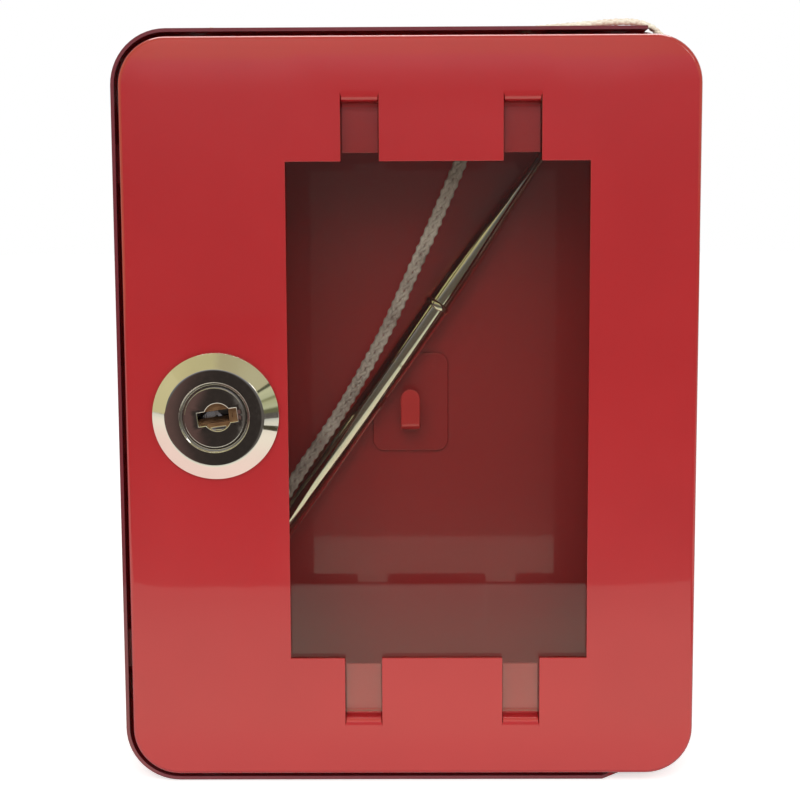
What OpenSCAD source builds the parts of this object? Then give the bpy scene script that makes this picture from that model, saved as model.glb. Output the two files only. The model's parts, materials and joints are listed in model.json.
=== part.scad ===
// Break glass key box: a flat red steel case with a hinged door, a glass pane held by
// four bent tongues, a cam lock, a key hook, and a small hammer on a flat braided cord.
// Origin: centre of the case's back face, which goes against the wall.
// +X is to the right, +Y into the wall, +Z up. Everything is in millimetres.

/* [Case] */
// Width of the case
case_w = 116; // [112:1:130]
// Height of the case
case_h = 152; // [148:1:170]
// Depth from the wall to the door's front face
case_d = 40; // [38:0.5:60]
// Thickness of the case's sheet steel
case_t = 0.7; // [0.6:0.05:1.2]
// Outer radius of the case's corners
corner_r = 11; // [10:0.5:13]
// How far the case's rim lies behind the door's front face
rim_back = 1.5; // [1:0.1:2.5]
// Width of the cut-away rim at the hinge side
relief_w = 10.7; // [10:0.1:12]
// Width of the cord notch in the top wall
notch_w = 6.6; // [6.2:0.1:7]
// Depth of the cord notch behind the cut-away rim
notch_d = 3.6; // [3.4:0.1:5]

/* [Wall fixing] */
// Spacing of the wall holes across the case
wall_hole_x = 92; // [88:1:94]
// Spacing of the wall holes up the case
wall_hole_z = 130; // [124:1:132]
// Diameter of each wall hole
wall_hole_d = 4.5; // [3.5:0.1:5.5]

/* [Door] */
// Thickness of the door's sheet steel
door_t = 0.7; // [0.6:0.05:1]
// Outer radius of the bend along the door's front edge
edge_r = 1; // [1:0.1:1.4]
// Gap between the door's edge and the case's wall
door_gap = 0.9; // [0.5:0.05:1.1]
// Outer radius of the door's corners
door_r = 9.5; // [8:0.5:10.5]
// Depth of the door's flange from its front face
flange_d = 8; // [7:0.1:9]
// Gap between the door's flange and the case's cut-away rim
flange_gap = 1; // [0.8:0.1:1.5]

/* [Window] */
// Width of the window
window_w = 60; // [54:0.2:62]
// Height of the window
window_h = 100; // [90:0.2:106]
// Distance from the lock's axis to the window's nearest edge
window_side = 14.4; // [14:0.1:16]
// Spacing of the notches along the window's edge
tongue_pitch = 32; // [26:0.5:38]
// Distance of the notches' middle to the right of the window's centre
tongue_shift = 0.7; // [0:0.1:1.5]
// Width of each notch
tongue_w = 7.5; // [6:0.1:9]
// Length of each notch from the window's edge
tongue_l = 12.7; // [10:0.1:14]
// How far each tongue's tip stops outside the window
tip_back = 1.7; // [1:0.1:4]
// How far the notches and the glass sit below the window's middle
notch_drop = 0.4; // [0:0.1:1]

/* [Glass] */
// Thickness of the glass pane
glass_t = 2; // [1.5:0.1:3]
// Width of glass behind the door on each side of the window
glass_lap = 3; // [2:0.1:3.6]
// Gap between the glass and the folds at the notches' ends
glass_gap = 1.05; // [0.3:0.05:1.5]
// Play between the glass and the tongues that hold it
glass_play = 0.1; // [0.05:0.05:0.3]

/* [Hinge] */
// Distance of the hinge axis from the door's side and front faces
hinge_in = 3; // [2.9:0.1:3.2]
// Distance of each hinge from the door's end
hinge_end = 16.4; // [14:0.1:24]
// Diameter of each hinge pin
pin_d = 2; // [1.6:0.1:2.2]
// Radial running clearance of a pin in its bracket
pin_play = 0.05; // [0.02:0.01:0.1]
// Thickness of the hinge brackets and ears
hinge_t = 1.2; // [1:0.1:1.6]
// Thickness of the washer between ear and bracket
hinge_washer_t = 0.5; // [0.3:0.1:0.8]

/* [Lock] */
// Distance from the door's free edge to the lock's axis
lock_side = 18.2; // [17:0.1:20]
// Distance of the lock below the door's middle
lock_drop = 0.2; // [0:0.1:2]
// Diameter of the lock's bezel
bezel_d = 25.4; // [22:0.1:27]
// Diameter of the bezel's flat face
face_d = 19.4; // [17:0.1:20.5]
// Height of the bezel in front of the door
bezel_h = 3; // [2:0.1:4]
// Diameter of the lock's threaded barrel
barrel_d = 16; // [15:0.1:17]
// Length of the barrel behind the door's front face
barrel_l = 16.5; // [14:0.1:18]
// Diameter of the lock's turning plug
plug_d = 12.8; // [12.2:0.1:13]
// Radial running clearance of the plug in its barrel
plug_play = 0.05; // [0.02:0.01:0.1]
// Tilt of the keyhole from level
keyhole_tilt = 8; // [0:1:15]
// Distance of the keyhole to the side of the plug's centre
keyhole_side = 0.6; // [0:0.1:0.8]
// Gap between the tip of the turned cam and the case's wall
cam_gap = 2.1; // [1.3:0.1:4]
// Thickness of the cam
cam_t = 1.8; // [1.2:0.1:2.5]

/* [Key hook] */
// Width of the hook's tongue
hook_w = 4.2; // [4.2:0.1:8]
// Height of the hook from its underside to its top
hook_h = 9; // [8:0.1:12]
// Free space between the hook's tongue and its plate
hook_gap = 5.2; // [4.5:0.1:8]
// Width of the hook's plate
hook_plate_w = 16.8; // [14:0.2:20]
// Height of the hook's plate
hook_plate_h = 22; // [18:1:24]

/* [Hammer] */
// Distance of the hammer's head from the hinge side's wall as it lies in the case
head_side = 20.7; // [18:0.1:26]
// Diameter of the hammer's grip
grip_d = 5.9; // [5:0.1:6.5]
// Diameter of the hammer's neck
neck_d = 2.2; // [1.8:0.1:3]
// Length of the taper from grip to neck
taper_l = 45; // [30:1:50]
// Diameter of the hammer's head
head_d = 9; // [7:0.1:9.6]
// Length of the hammer's head
head_l = 30; // [24:1:32]
// Radius of the lanyard ring to the middle of its wire
ring_r = 4; // [3.6:0.1:4.4]
// Diameter of the lanyard ring's wire
ring_wire = 1.2; // [1:0.1:1.4]

/* [Cord] */
// Width of the flat braided cord
cord_w = 3; // [2.4:0.1:3]
// Thickness of the flat braided cord
cord_t = 1.4; // [1:0.1:1.4]

/* [Hidden] */
$fn = 64;
cut = 1;
clear = 0.3;
red = [0.68, 0.17, 0.16];
chrome = [0.8, 0.8, 0.78];
steel = [0.62, 0.63, 0.65];
brass = [0.78, 0.6, 0.3];
pane = [0.7, 0.85, 0.85, 0.35];
braid = [0.85, 0.8, 0.74];

// Planes of the case and of the door, from the wall forwards
door_y = -case_d;
rim_y = door_y + rim_back;
relief_y = door_y + flange_d + flange_gap;
inner_w = case_w - 2 * case_t;
inner_h = case_h - 2 * case_t;
inner_r = corner_r - case_t;
inner_x = inner_w / 2;
inner_z = inner_h / 2;
relief_x = case_w / 2 - relief_w;

// Outline of the door: it lies inside the case's walls, and over the one at the hinge side
door_x0 = -inner_x + door_gap;
door_x1 = case_w / 2;
door_z1 = inner_z - door_gap;
sheet_y = door_y + door_t;
flange_y = door_y + flange_d;

// Window, notches and tongues
lock_x = -door_x0 - lock_side;
window_x = window_side - lock_x + window_w / 2;
notch_z = window_h / 2 + tongue_l;
tongue_y = sheet_y + glass_t + glass_play;
tongue_x = window_x + tongue_shift;
bend = 0.6;

// Hinge
hinge_z = door_z1 - hinge_end;
axis_x = door_x1 - hinge_in;
axis_y = door_y + hinge_in;
arm_half = 1.8;
arm_lean = 20;
slot_play = 0.4;
ear_z = hinge_t + hinge_washer_t;
rivet_head_d = 3.4;
rivet_head_t = 0.7;
plate_w = 8;
plate_l = 10;
plate_y = relief_y + 1.5;
weld_tab_h = 14;

// Lock, measured along its axis from the door's front face
cam_l = inner_x - lock_x - cam_gap;
washer_t = 0.6;
nut_t = 3.5;
nut_af = 20;
flat_w = barrel_d - 2;
barrel_play = 0.1;
plug_l = barrel_l + 0.5;
ring_edge = 0.4;
ring_depth = 0.9;
tail_w = 5;
tail_l = cam_t - 0.1;
spring_washer_t = 0.7;
screw_head_t = 2;
screw_head_d = 7;
screw_d = 3.2;
cam_y = door_y + plug_l;
keyhole_d = 5.4;
keyhole_w = 7.8;
keyhole_h = 2.6;
keyway_l = 16.6;
screw_hole_l = 3;
wafers = 5;
wafer_front = 0.6;
wafer_shift = 0.9;
wafer_pitch = 2.5;
wafer_t = 0.9;
wafer_w = 10.4;
wafer_h = 5;

// Keeper behind which the cam turns, and the stops that the closed door rests on
keeper_t = 1.2;
keeper_h = 18;
keeper_reach = 7;
stop_z = hinge_z - 8;
stop_h = 8;
stop_reach = 4.5;

// Key hook
hook_x = 0.6;
hook_z = -7.6;
hook_t = 0.9;
hook_bend = 1.5;
hook_plate_z = hook_z - 5.4;
hook_plate_r = 2.5;

// Hammer: its ring sits in the lower left corner and its head meets the top wall
ring_hole_d = 2.9;
ring_hole_z = 3.5;
ring_drop = 3.4;
ring_angle = 204.7;
ring_clear = 0.7;
tail_reach = ring_drop + ring_r + ring_wire / 2 - ring_hole_z;
hammer_y = -(case_t + ring_clear + ring_r + ring_wire / 2);
corner_x = -case_w / 2 + corner_r;
corner_z = -case_h / 2 + corner_r;
ring_x = corner_x + (inner_r - clear) * cos(ring_angle);
ring_z = corner_z + (inner_r - clear) * sin(ring_angle);
head_x = inner_x - head_side;
hammer_lean = lean_to_fit(55, 12);
butt_x = ring_x + tail_reach * cos(hammer_lean);
butt_z = ring_z + tail_reach * sin(hammer_lean);
head_z = head_height(hammer_lean);
head_at = (head_z - butt_z) / sin(hammer_lean);
collar_at = head_at - head_d / 2 - 2;
taper_at = collar_at - taper_l;
groove_back = 16.3;
groove_at = taper_at - groove_back;
waist_l = 12;
waist_in = 0.8;

// Knots in the cord
knot_d = 5.2;
end_knot_d = 3.6;
ring_knot_at = [-53.4, -11.8, -65.2];
end_knot_at = [-42, -6.8, 78];

// The cord's route: x, y, z and the turn of its width from the case's face, in degrees
cord_route = [
    [-53.3, -12, -65, 0],
    [-51, -12, -60.5, 0],
    [-46.5, -11.5, -52.5, 0],
    [-41.5, -11, -44.5, 0],
    [-36.4, -10.5, -36.3, 0],
    [-31, -10, -27.5, 0],
    [-25.3, -10, -18.9, 0],
    [-21.1, -11.5, -12.5, 0],
    [-15.4, -13.5, -4.1, 0],
    [-9.4, -15.5, 6, 0],
    [-4, -18, 16.2, 0],
    [0.9, -20.5, 26.9, 0],
    [6, -23, 38.3, 0],
    [11, -26, 50, 0],
    [13.4, -27, 55.2, 15],
    [17.2, -27.8, 59.6, 40],
    [22.5, -28.4, 62.3, 65],
    [29, -28.8, 63, 80],
    [35.5, -29.2, 62.5, 90],
    [41, -29.2, 61.7, 90],
    [45.5, -29.2, 61.4, 90],
    [48.9, -29.2, 62.2, 90],
    [51.6, -29.2, 64.3, 90],
    [53, -29.2, 66.7, 90],
    [53.5, -29.2, 69.4, 90],
    [53, -29.2, 72.1, 90],
    [51.6, -29.2, 74.5, 90],
    [48.9, -29.2, 76.8, 90],
    [45.5, -29.2, 77.7, 90],
    [41, -28.8, 77.7, 90],
    [36, -27.8, 77.4, 90],
    [30.5, -26, 77.2, 90],
    [24.8, -23.8, 76.9, 90],
    [18.5, -20.8, 76.8, 90],
    [11.5, -17.6, 76.8, 90],
    [3.5, -14.6, 76.8, 90],
    [-5.5, -12.2, 76.8, 90],
    [-15, -10.4, 76.8, 90],
    [-24.5, -9, 76.8, 90],
    [-33.5, -7.8, 76.8, 90],
    [-41, -7, 76.9, 90]
];

// A flat rectangle with round corners, drawn in x and z
module round_rect(x0, x1, z0, z1, r) {
    translate([x0 + r, z0])
        square([x1 - x0 - 2 * r, z1 - z0]);
    translate([x0, z0 + r])
        square([x1 - x0, z1 - z0 - 2 * r]);
    for (x = [x0 + r, x1 - r], z = [z0 + r, z1 - r])
        translate([x, z])
            circle(r = r);
}

// Turns a flat shape drawn in x and z into a slab between two planes of y
module slab(y0, y1) {
    translate([0, y1, 0])
        rotate([90, 0, 0])
            linear_extrude(height = y1 - y0)
                children();
}

module case_outline(inset = 0) {
    round_rect(-case_w / 2 + inset, case_w / 2 - inset,
        -case_h / 2 + inset, case_h / 2 - inset, corner_r - inset);
}

module door_outline(inset = 0) {
    round_rect(door_x0 + inset, door_x1 - inset, -door_z1 + inset, door_z1 - inset,
        door_r - inset);
}

module case_band() {
    color(red)
        difference() {
            slab(rim_y, -case_t)
                difference() {
                    case_outline();
                    case_outline(case_t);
                }
            translate([relief_x, rim_y - cut, -case_h])
                cube([case_w, relief_y - rim_y + cut, 2 * case_h]);
            translate([relief_x, rim_y - cut, 0])
                cube([notch_w, relief_y - rim_y + notch_d + cut, case_h]);
        }
}

module back_panel() {
    color(red)
        slab(-case_t, 0)
            difference() {
                case_outline();
                for (x = [-1, 1], z = [-1, 1])
                    translate([x * wall_hole_x / 2, z * wall_hole_z / 2])
                        circle(d = wall_hole_d);
            }
}

// Side view of the hook's bent strip, from its plate out and up: x runs forwards, y up
module hook_section() {
    reach = hook_gap + hook_t;
    square_l = reach - hook_bend;
    square([square_l, hook_t]);
    translate([square_l, hook_bend])
        intersection() {
            difference() {
                circle(r = hook_bend);
                circle(r = hook_bend - hook_t);
            }
            translate([0, -hook_bend])
                square([hook_bend, hook_bend]);
        }
    translate([reach - hook_t, hook_bend])
        square([hook_t, hook_h - hook_bend]);
}

module key_hook() {
    plate_y0 = -case_t - hook_t;
    color(red) {
        slab(plate_y0, -case_t)
            round_rect(hook_x - hook_plate_w / 2, hook_x + hook_plate_w / 2,
                hook_plate_z, hook_plate_z + hook_plate_h, hook_plate_r);
        intersection() {
            translate([hook_x - hook_w / 2, plate_y0, hook_z])
                rotate([90, 0, -90])
                    mirror([0, 0, 1])
                        linear_extrude(height = hook_w)
                            hook_section();
            slab(plate_y0 - 2 * hook_gap, -case_t)
                union() {
                    translate([hook_x - hook_w / 2, hook_z])
                        square([hook_w, hook_h - hook_w / 2]);
                    translate([hook_x, hook_z + hook_h - hook_w / 2])
                        circle(d = hook_w);
                }
        }
    }
}

// Flat arm that carries a hinge pin, drawn in x and y round the hinge axis
module bracket_arm() {
    wall_x = inner_x - axis_x;
    base_y = plate_y - axis_y;
    difference() {
        union() {
            circle(r = arm_half);
            rotate(arm_lean)
                translate([-arm_half, 0])
                    square([2 * arm_half, base_y + 2]);
            translate([wall_x - plate_w, base_y])
                square([plate_w, plate_l]);
        }
        circle(d = pin_d + 2 * pin_play);
    }
}

module hinge_bracket(z) {
    color(red)
        translate([axis_x, axis_y, z]) {
            linear_extrude(height = hinge_t)
                bracket_arm();
            translate([inner_x - axis_x - hinge_t, plate_y - axis_y,
                hinge_t / 2 - weld_tab_h / 2])
                cube([hinge_t, plate_l, weld_tab_h]);
        }
}

module hinge_ear(z) {
    seat = hinge_in - door_t;
    bend_in = edge_r - door_t;
    color(red)
        translate([axis_x, axis_y, z + ear_z])
            linear_extrude(height = hinge_t)
                difference() {
                    union() {
                        circle(r = arm_half);
                        translate([-arm_half, -seat])
                            square([arm_half + seat - bend_in, seat]);
                        translate([0, bend_in - seat])
                            square([seat, seat - bend_in + arm_half]);
                    }
                    circle(d = pin_d + pin_play);
                }
}

module hinge_pin(z) {
    color(steel)
        translate([axis_x, axis_y, z]) {
            translate([0, 0, -rivet_head_t - pin_play])
                cylinder(d = rivet_head_d, h = rivet_head_t);
            translate([0, 0, -rivet_head_t - pin_play])
                cylinder(d = pin_d, h = 2 * rivet_head_t + pin_play + ear_z + hinge_t);
            translate([0, 0, ear_z + hinge_t])
                cylinder(d = rivet_head_d, h = rivet_head_t);
        }
}

module hinge_washers() {
    color(steel)
        for (z = [-hinge_z, hinge_z])
            translate([axis_x, axis_y, z + hinge_t + pin_play])
                difference() {
                    cylinder(d = rivet_head_d, h = hinge_washer_t - pin_play);
                    translate([0, 0, -cut])
                        cylinder(d = pin_d + pin_play, h = hinge_washer_t + 2 * cut);
                }
}

module lock_keeper() {
    color(red)
        translate([-inner_x, 0, -keeper_h / 2]) {
            translate([0, relief_y, 0])
                cube([keeper_t, cam_y - clear - relief_y, keeper_h]);
            translate([0, cam_y - clear - keeper_t, 0])
                cube([keeper_reach, keeper_t, keeper_h]);
        }
}

module door_stops() {
    color(red)
        for (z = [-stop_z, stop_z])
            translate([-inner_x, flange_y + clear, z - stop_h / 2]) {
                cube([stop_reach, case_t, stop_h]);
                cube([case_t, stop_h, stop_h]);
            }
}

// One tongue: the sheet turns back at the notch's end and runs on behind the glass
module tongue(tip_z) {
    fold_z = notch_z - door_t;
    back_y = tongue_y + door_t;
    translate([-tongue_w / 2, 0, 0])
        rotate([90, 0, 90])
            linear_extrude(height = tongue_w)
                polygon([
                    [door_y, notch_z],
                    [door_y + bend / 2, fold_z + bend / 2],
                    [door_y + door_t, fold_z],
                    [tongue_y, fold_z],
                    [tongue_y, tip_z],
                    [back_y, tip_z],
                    [back_y, notch_z - bend],
                    [back_y - bend, notch_z]
                ]);
}

// Cross-section of the door's edge: x runs outwards from the corner's centre, y backwards
module edge_section() {
    translate([door_r - door_t, edge_r])
        square([door_t, flange_d - edge_r]);
    translate([door_r - edge_r, edge_r])
        intersection() {
            difference() {
                circle(r = edge_r);
                circle(r = edge_r - door_t);
            }
            translate([0, -edge_r])
                square([edge_r, edge_r]);
        }
}

// The door's bent edge: four straight lengths and four round corners
module door_edge() {
    mid_x = (door_x0 + door_x1) / 2;
    half_x = (door_x1 - door_x0) / 2 - door_r;
    half_z = door_z1 - door_r;
    translate([mid_x, door_y, 0])
        rotate([-90, 0, 0])
            for (turn = [0 : 3]) {
                along = turn % 2 == 0 ? half_z : half_x;
                out = turn % 2 == 0 ? half_x : half_z;
                rotate(90 * turn)
                    translate([out, 0, 0]) {
                        translate([0, along, 0])
                            rotate([90, 0, 0])
                                linear_extrude(height = 2 * along)
                                    edge_section();
                        translate([0, along, 0])
                            rotate_extrude(angle = 90)
                                edge_section();
                    }
            }
}

module door_panel() {
    color(red) {
        difference() {
            slab(door_y, sheet_y)
                difference() {
                    door_outline(edge_r);
                    translate([window_x - window_w / 2, -window_h / 2])
                        square([window_w, window_h]);
                    for (x = [-1, 1])
                        translate([
                            tongue_x + x * tongue_pitch / 2 - tongue_w / 2,
                            -notch_z - notch_drop
                        ])
                            square([tongue_w, 2 * notch_z]);
                    translate([-lock_x, -lock_drop])
                        intersection() {
                            circle(d = barrel_d + 2 * barrel_play);
                            square([flat_w + 2 * barrel_play, 2 * barrel_d], center = true);
                        }
                }
        }
        difference() {
            door_edge();
            for (z = [-hinge_z, hinge_z])
                translate([axis_x, sheet_y, z - slot_play])
                    cube([hinge_in + cut, flange_d, hinge_t + 2 * slot_play]);
        }
        for (x = [-1, 1], up = [-1, 1])
            translate([tongue_x + x * tongue_pitch / 2, 0, -notch_drop])
                mirror([0, 0, (1 - up) / 2])
                    tongue(window_h / 2 + tip_back + up * notch_drop);
    }
}

module glass_pane() {
    half_w = window_w / 2 + glass_lap;
    half_h = notch_z - door_t - glass_gap;
    color(pane)
        slab(sheet_y, sheet_y + glass_t)
            translate([window_x - half_w, -half_h - notch_drop])
                square([2 * half_w, 2 * half_h]);
}

// Places a lock piece: its own +Z points out of the door's front face
module on_lock() {
    translate([-lock_x, door_y, -lock_drop])
        rotate([90, 0, 0])
            children();
}

module lock_housing() {
    bore_r = plug_d / 2 + plug_play;
    color(chrome)
        on_lock()
            difference() {
                union() {
                    rotate_extrude()
                        polygon([
                            [bore_r, 0],
                            [bezel_d / 2, 0],
                            [bezel_d / 2, 0.8],
                            [face_d / 2, bezel_h],
                            [bore_r + ring_edge, bezel_h],
                            [bore_r + ring_edge, bezel_h - ring_depth],
                            [bore_r, bezel_h - ring_depth]
                        ]);
                    translate([0, 0, -barrel_l])
                        linear_extrude(height = barrel_l)
                            intersection() {
                                circle(d = barrel_d);
                                square([flat_w, 2 * barrel_d], center = true);
                            }
                }
                translate([0, 0, -barrel_l - cut])
                    cylinder(r = bore_r, h = barrel_l + bezel_h + 2 * cut);
            }
}

module lock_washer() {
    color(steel)
        on_lock()
            translate([0, 0, -door_t - washer_t])
                difference() {
                    cylinder(d = nut_af, h = washer_t);
                    translate([0, 0, -cut])
                        cylinder(d = barrel_d + 2 * barrel_play, h = washer_t + 2 * cut);
                }
}

module lock_nut() {
    color(steel)
        on_lock()
            translate([0, 0, -door_t - washer_t - nut_t])
                difference() {
                    rotate(30)
                        cylinder(d = nut_af / cos(30), h = nut_t, $fn = 6);
                    translate([0, 0, -cut])
                        cylinder(d = barrel_d + 2 * barrel_play, h = nut_t + 2 * cut);
                }
}

module keyhole() {
    translate([keyhole_side, 0]) {
        circle(d = keyhole_d);
        square([keyhole_w, keyhole_h], center = true);
    }
}

module at_each_wafer() {
    for (i = [0 : wafers - 1])
        translate([0, 0, wafer_front - i * wafer_pitch])
            children();
}

module lock_plug() {
    spring_z = wafer_h / 2 + 1;
    color(chrome)
        on_lock()
            rotate(keyhole_tilt)
                difference() {
                    union() {
                        rotate_extrude()
                            polygon([
                                [0, -plug_l],
                                [plug_d / 2, -plug_l],
                                [plug_d / 2, bezel_h - ring_depth - 0.1],
                                [plug_d / 2 - ring_edge, bezel_h - ring_depth - 0.1],
                                [plug_d / 2 - ring_edge, bezel_h - 0.1],
                                [0, bezel_h - 0.1]
                            ]);
                        rotate(-keyhole_tilt)
                            translate([-tail_w / 2, -tail_w / 2, -plug_l - tail_l])
                                cube([tail_w, tail_w, tail_l + cut]);
                    }
                    translate([0, 0, bezel_h - keyway_l])
                        linear_extrude(height = keyway_l)
                            keyhole();
                    at_each_wafer()
                        translate([0, 0, -wafer_t / 2 - 0.1])
                            linear_extrude(height = wafer_t + 0.2)
                                square([wafer_w + 0.2, wafer_h + 0.2], center = true);
                    at_each_wafer()
                        translate([-2, spring_z, 0])
                            rotate([0, 90, 0])
                                cylinder(d = 1.2, h = 4);
                    translate([0, 0, -plug_l - tail_l - cut])
                        cylinder(d = screw_d + 0.1, h = tail_l + cut + screw_hole_l);
                }
}

module lock_wafers() {
    color(brass)
        on_lock()
            rotate(keyhole_tilt)
                at_each_wafer()
                    translate([0, 0, -wafer_t / 2])
                        linear_extrude(height = wafer_t)
                            difference() {
                                square([wafer_w, wafer_h], center = true);
                                translate([keyhole_side - wafer_shift, 0])
                                    square([keyhole_w - 2 * wafer_shift, keyhole_h - 0.2],
                                        center = true);
                            }
}

module wafer_springs() {
    color(steel)
        on_lock()
            rotate(keyhole_tilt)
                at_each_wafer()
                    translate([-1.8, wafer_h / 2 + 1, 0])
                        rotate([0, 90, 0])
                            cylinder(d = 0.9, h = 3.6);
}

module lock_cam() {
    hub_d = 13;
    arm_w = 9;
    color(steel)
        on_lock()
            translate([0, 0, -plug_l - cam_t])
                linear_extrude(height = cam_t)
                    difference() {
                        union() {
                            circle(d = hub_d);
                            translate([-arm_w / 2, -cam_l + arm_w / 2])
                                square([arm_w, cam_l - arm_w / 2]);
                            translate([0, -cam_l + arm_w / 2])
                                circle(d = arm_w);
                        }
                        square(tail_w + 0.1, center = true);
                    }
}

module cam_spring_washer() {
    color(steel)
        on_lock()
            translate([0, 0, -plug_l - cam_t - spring_washer_t])
                difference() {
                    cylinder(d = 7.4, h = spring_washer_t);
                    translate([0, 0, -cut])
                        cylinder(d = screw_d + 0.4, h = spring_washer_t + 2 * cut);
                }
}

module cam_screw() {
    head_back = -plug_l - cam_t - spring_washer_t;
    color(steel)
        on_lock()
            difference() {
                union() {
                    translate([0, 0, head_back - screw_head_t])
                        cylinder(d = screw_head_d, h = screw_head_t);
                    translate([0, 0, head_back - cut / 2])
                        cylinder(d = screw_d, h = cam_t + spring_washer_t + 2.5 + cut / 2);
                }
                for (a = [0, 90])
                    rotate(a)
                        translate([-2, -0.4, head_back - screw_head_t - cut])
                            cube([4, 0.8, cut + 1]);
            }
}

// Height of the head's middle when the hammer lies at a given angle above level
function head_height(lean) =
    inner_z - clear - head_l / 2 * cos(lean) - head_d / 2 * sin(lean);

// Angle above level at which the hammer fits between its ring and its head's place
function lean_to_fit(lean, tries) =
    tries == 0 ? lean
    : lean_to_fit(atan2(head_height(lean) - ring_z, head_x - ring_x), tries - 1);

// Places a hammer piece: its own +Z runs up the handle from the butt
module on_hammer() {
    translate([butt_x, hammer_y, butt_z])
        rotate([0, 90 - hammer_lean, 0])
            children();
}

module hammer_handle() {
    steps = 12;
    grip_r = grip_d / 2;
    neck_r = neck_d / 2;
    color(chrome)
        on_hammer()
            difference() {
                rotate_extrude()
                    polygon(concat(
                        [[0, 0], [grip_r - 0.5, 0], [grip_r, 0.5]],
                        [[grip_r, groove_at], [grip_r - 0.15, groove_at + 0.2],
                            [grip_r, groove_at + 0.4]],
                        [[grip_r, taper_at - 1.6], [grip_r + 0.2, taper_at - 1.3],
                            [grip_r + 0.2, taper_at - 0.3]],
                        [for (i = [0 : steps])
                            [neck_r + (grip_r - 0.15 - neck_r) * pow(cos(90 * i / steps), 2),
                                taper_at + taper_l * i / steps]],
                        [[neck_r + 1, collar_at + 0.6], [neck_r + 1, head_at - head_d / 2],
                            [neck_r, head_at - head_d / 2], [neck_r, head_at + head_d / 2 - 0.3],
                            [0, head_at + head_d / 2 - 0.3]]
                    ));
                translate([0, 0, ring_hole_z])
                    rotate([90, 0, 0])
                        cylinder(d = ring_hole_d, h = 2 * grip_d, center = true);
            }
}

module hammer_head() {
    edge = 0.8;
    color(chrome)
        on_hammer()
            translate([0, 0, head_at])
                difference() {
                    rotate([0, 90, 0])
                        rotate_extrude()
                            polygon([
                                [0, -head_l / 2],
                                [head_d / 2 - edge, -head_l / 2],
                                [head_d / 2, -head_l / 2 + edge],
                                [head_d / 2, -waist_l / 2 - 1],
                                [head_d / 2 - waist_in, -waist_l / 2],
                                [head_d / 2 - waist_in, waist_l / 2],
                                [head_d / 2, waist_l / 2 + 1],
                                [head_d / 2, head_l / 2 - edge],
                                [head_d / 2 - edge, head_l / 2],
                                [0, head_l / 2]
                            ]);
                    translate([0, 0, -head_d])
                        cylinder(d = neck_d + 0.1, h = 2 * head_d);
                    translate([0, 0, -head_d / 2 - cut])
                        cylinder(d = neck_d + 2.4, h = 1 + cut);
                }
}

module lanyard_ring() {
    color(steel)
        on_hammer()
            translate([0, 0, ring_hole_z - ring_drop])
                rotate([0, 90, 0])
                    rotate_extrude()
                        translate([ring_r, 0])
                            circle(d = ring_wire, $fn = 24);
}

module knot_ball(place, d) {
    color(braid)
        translate(place)
            sphere(d = d);
}

function unit(v) = v / norm(v);

// Direction of the route at a point, from its neighbours
function route_way(i) =
    let (a = cord_route[max(i - 1, 0)], b = cord_route[min(i + 1, len(cord_route) - 1)])
    unit([b[0] - a[0], b[1] - a[1], b[2] - a[2]]);

// One flattened eight-sided ring of the cord at a point of the route
function cord_ring(i) =
    let (
        p = cord_route[i],
        way = route_way(i),
        across = unit(cross(way, [0, 1, 0])),
        out = cross(across, way),
        wide = across * cos(p[3]) + out * sin(p[3]),
        thin = cross(way, wide),
        w = cord_w / 2,
        t = cord_t / 2
    )
    [for (q = [[w, 0.4 * t], [0.7 * w, t], [-0.7 * w, t], [-w, 0.4 * t],
            [-w, -0.4 * t], [-0.7 * w, -t], [0.7 * w, -t], [w, -0.4 * t]])
        [p[0], p[1], p[2]] + wide * q[0] + thin * q[1]];

module cord() {
    sides = 8;
    rings = len(cord_route);
    points = [for (i = [0 : rings - 1]) each cord_ring(i)];
    walls = [for (i = [0 : rings - 2], k = [0 : sides - 1])
        let (a = i * sides + k, b = i * sides + (k + 1) % sides)
        each [[a, b, a + sides], [b, b + sides, a + sides]]];
    first = [for (k = [1 : sides - 2]) [0, k + 1, k]];
    last_ring = (rings - 1) * sides;
    last = [for (k = [1 : sides - 2]) [last_ring, last_ring + k, last_ring + k + 1]];
    color(braid)
        polyhedron(points = points, faces = concat(walls, first, last));
}

case_band();
back_panel();
key_hook();
hinge_bracket(hinge_z);  // hinge_bracket_upper
hinge_bracket(-hinge_z);  // hinge_bracket_lower
lock_keeper();
door_stops();
door_panel();
glass_pane();
hinge_ear(hinge_z);  // hinge_ear_upper
hinge_ear(-hinge_z);  // hinge_ear_lower
hinge_pin(hinge_z);  // hinge_pin_upper
hinge_pin(-hinge_z);  // hinge_pin_lower
hinge_washers();
lock_housing();
lock_washer();
lock_nut();
lock_plug();
lock_wafers();
wafer_springs();
lock_cam();
cam_spring_washer();
cam_screw();
hammer_handle();
hammer_head();
lanyard_ring();
cord();
knot_ball(ring_knot_at, knot_d);  // ring_knot
knot_ball(end_knot_at, end_knot_d);  // end_knot
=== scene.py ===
"""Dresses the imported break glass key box: enamelled sheet, glass, chrome, steel and braid."""

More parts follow.
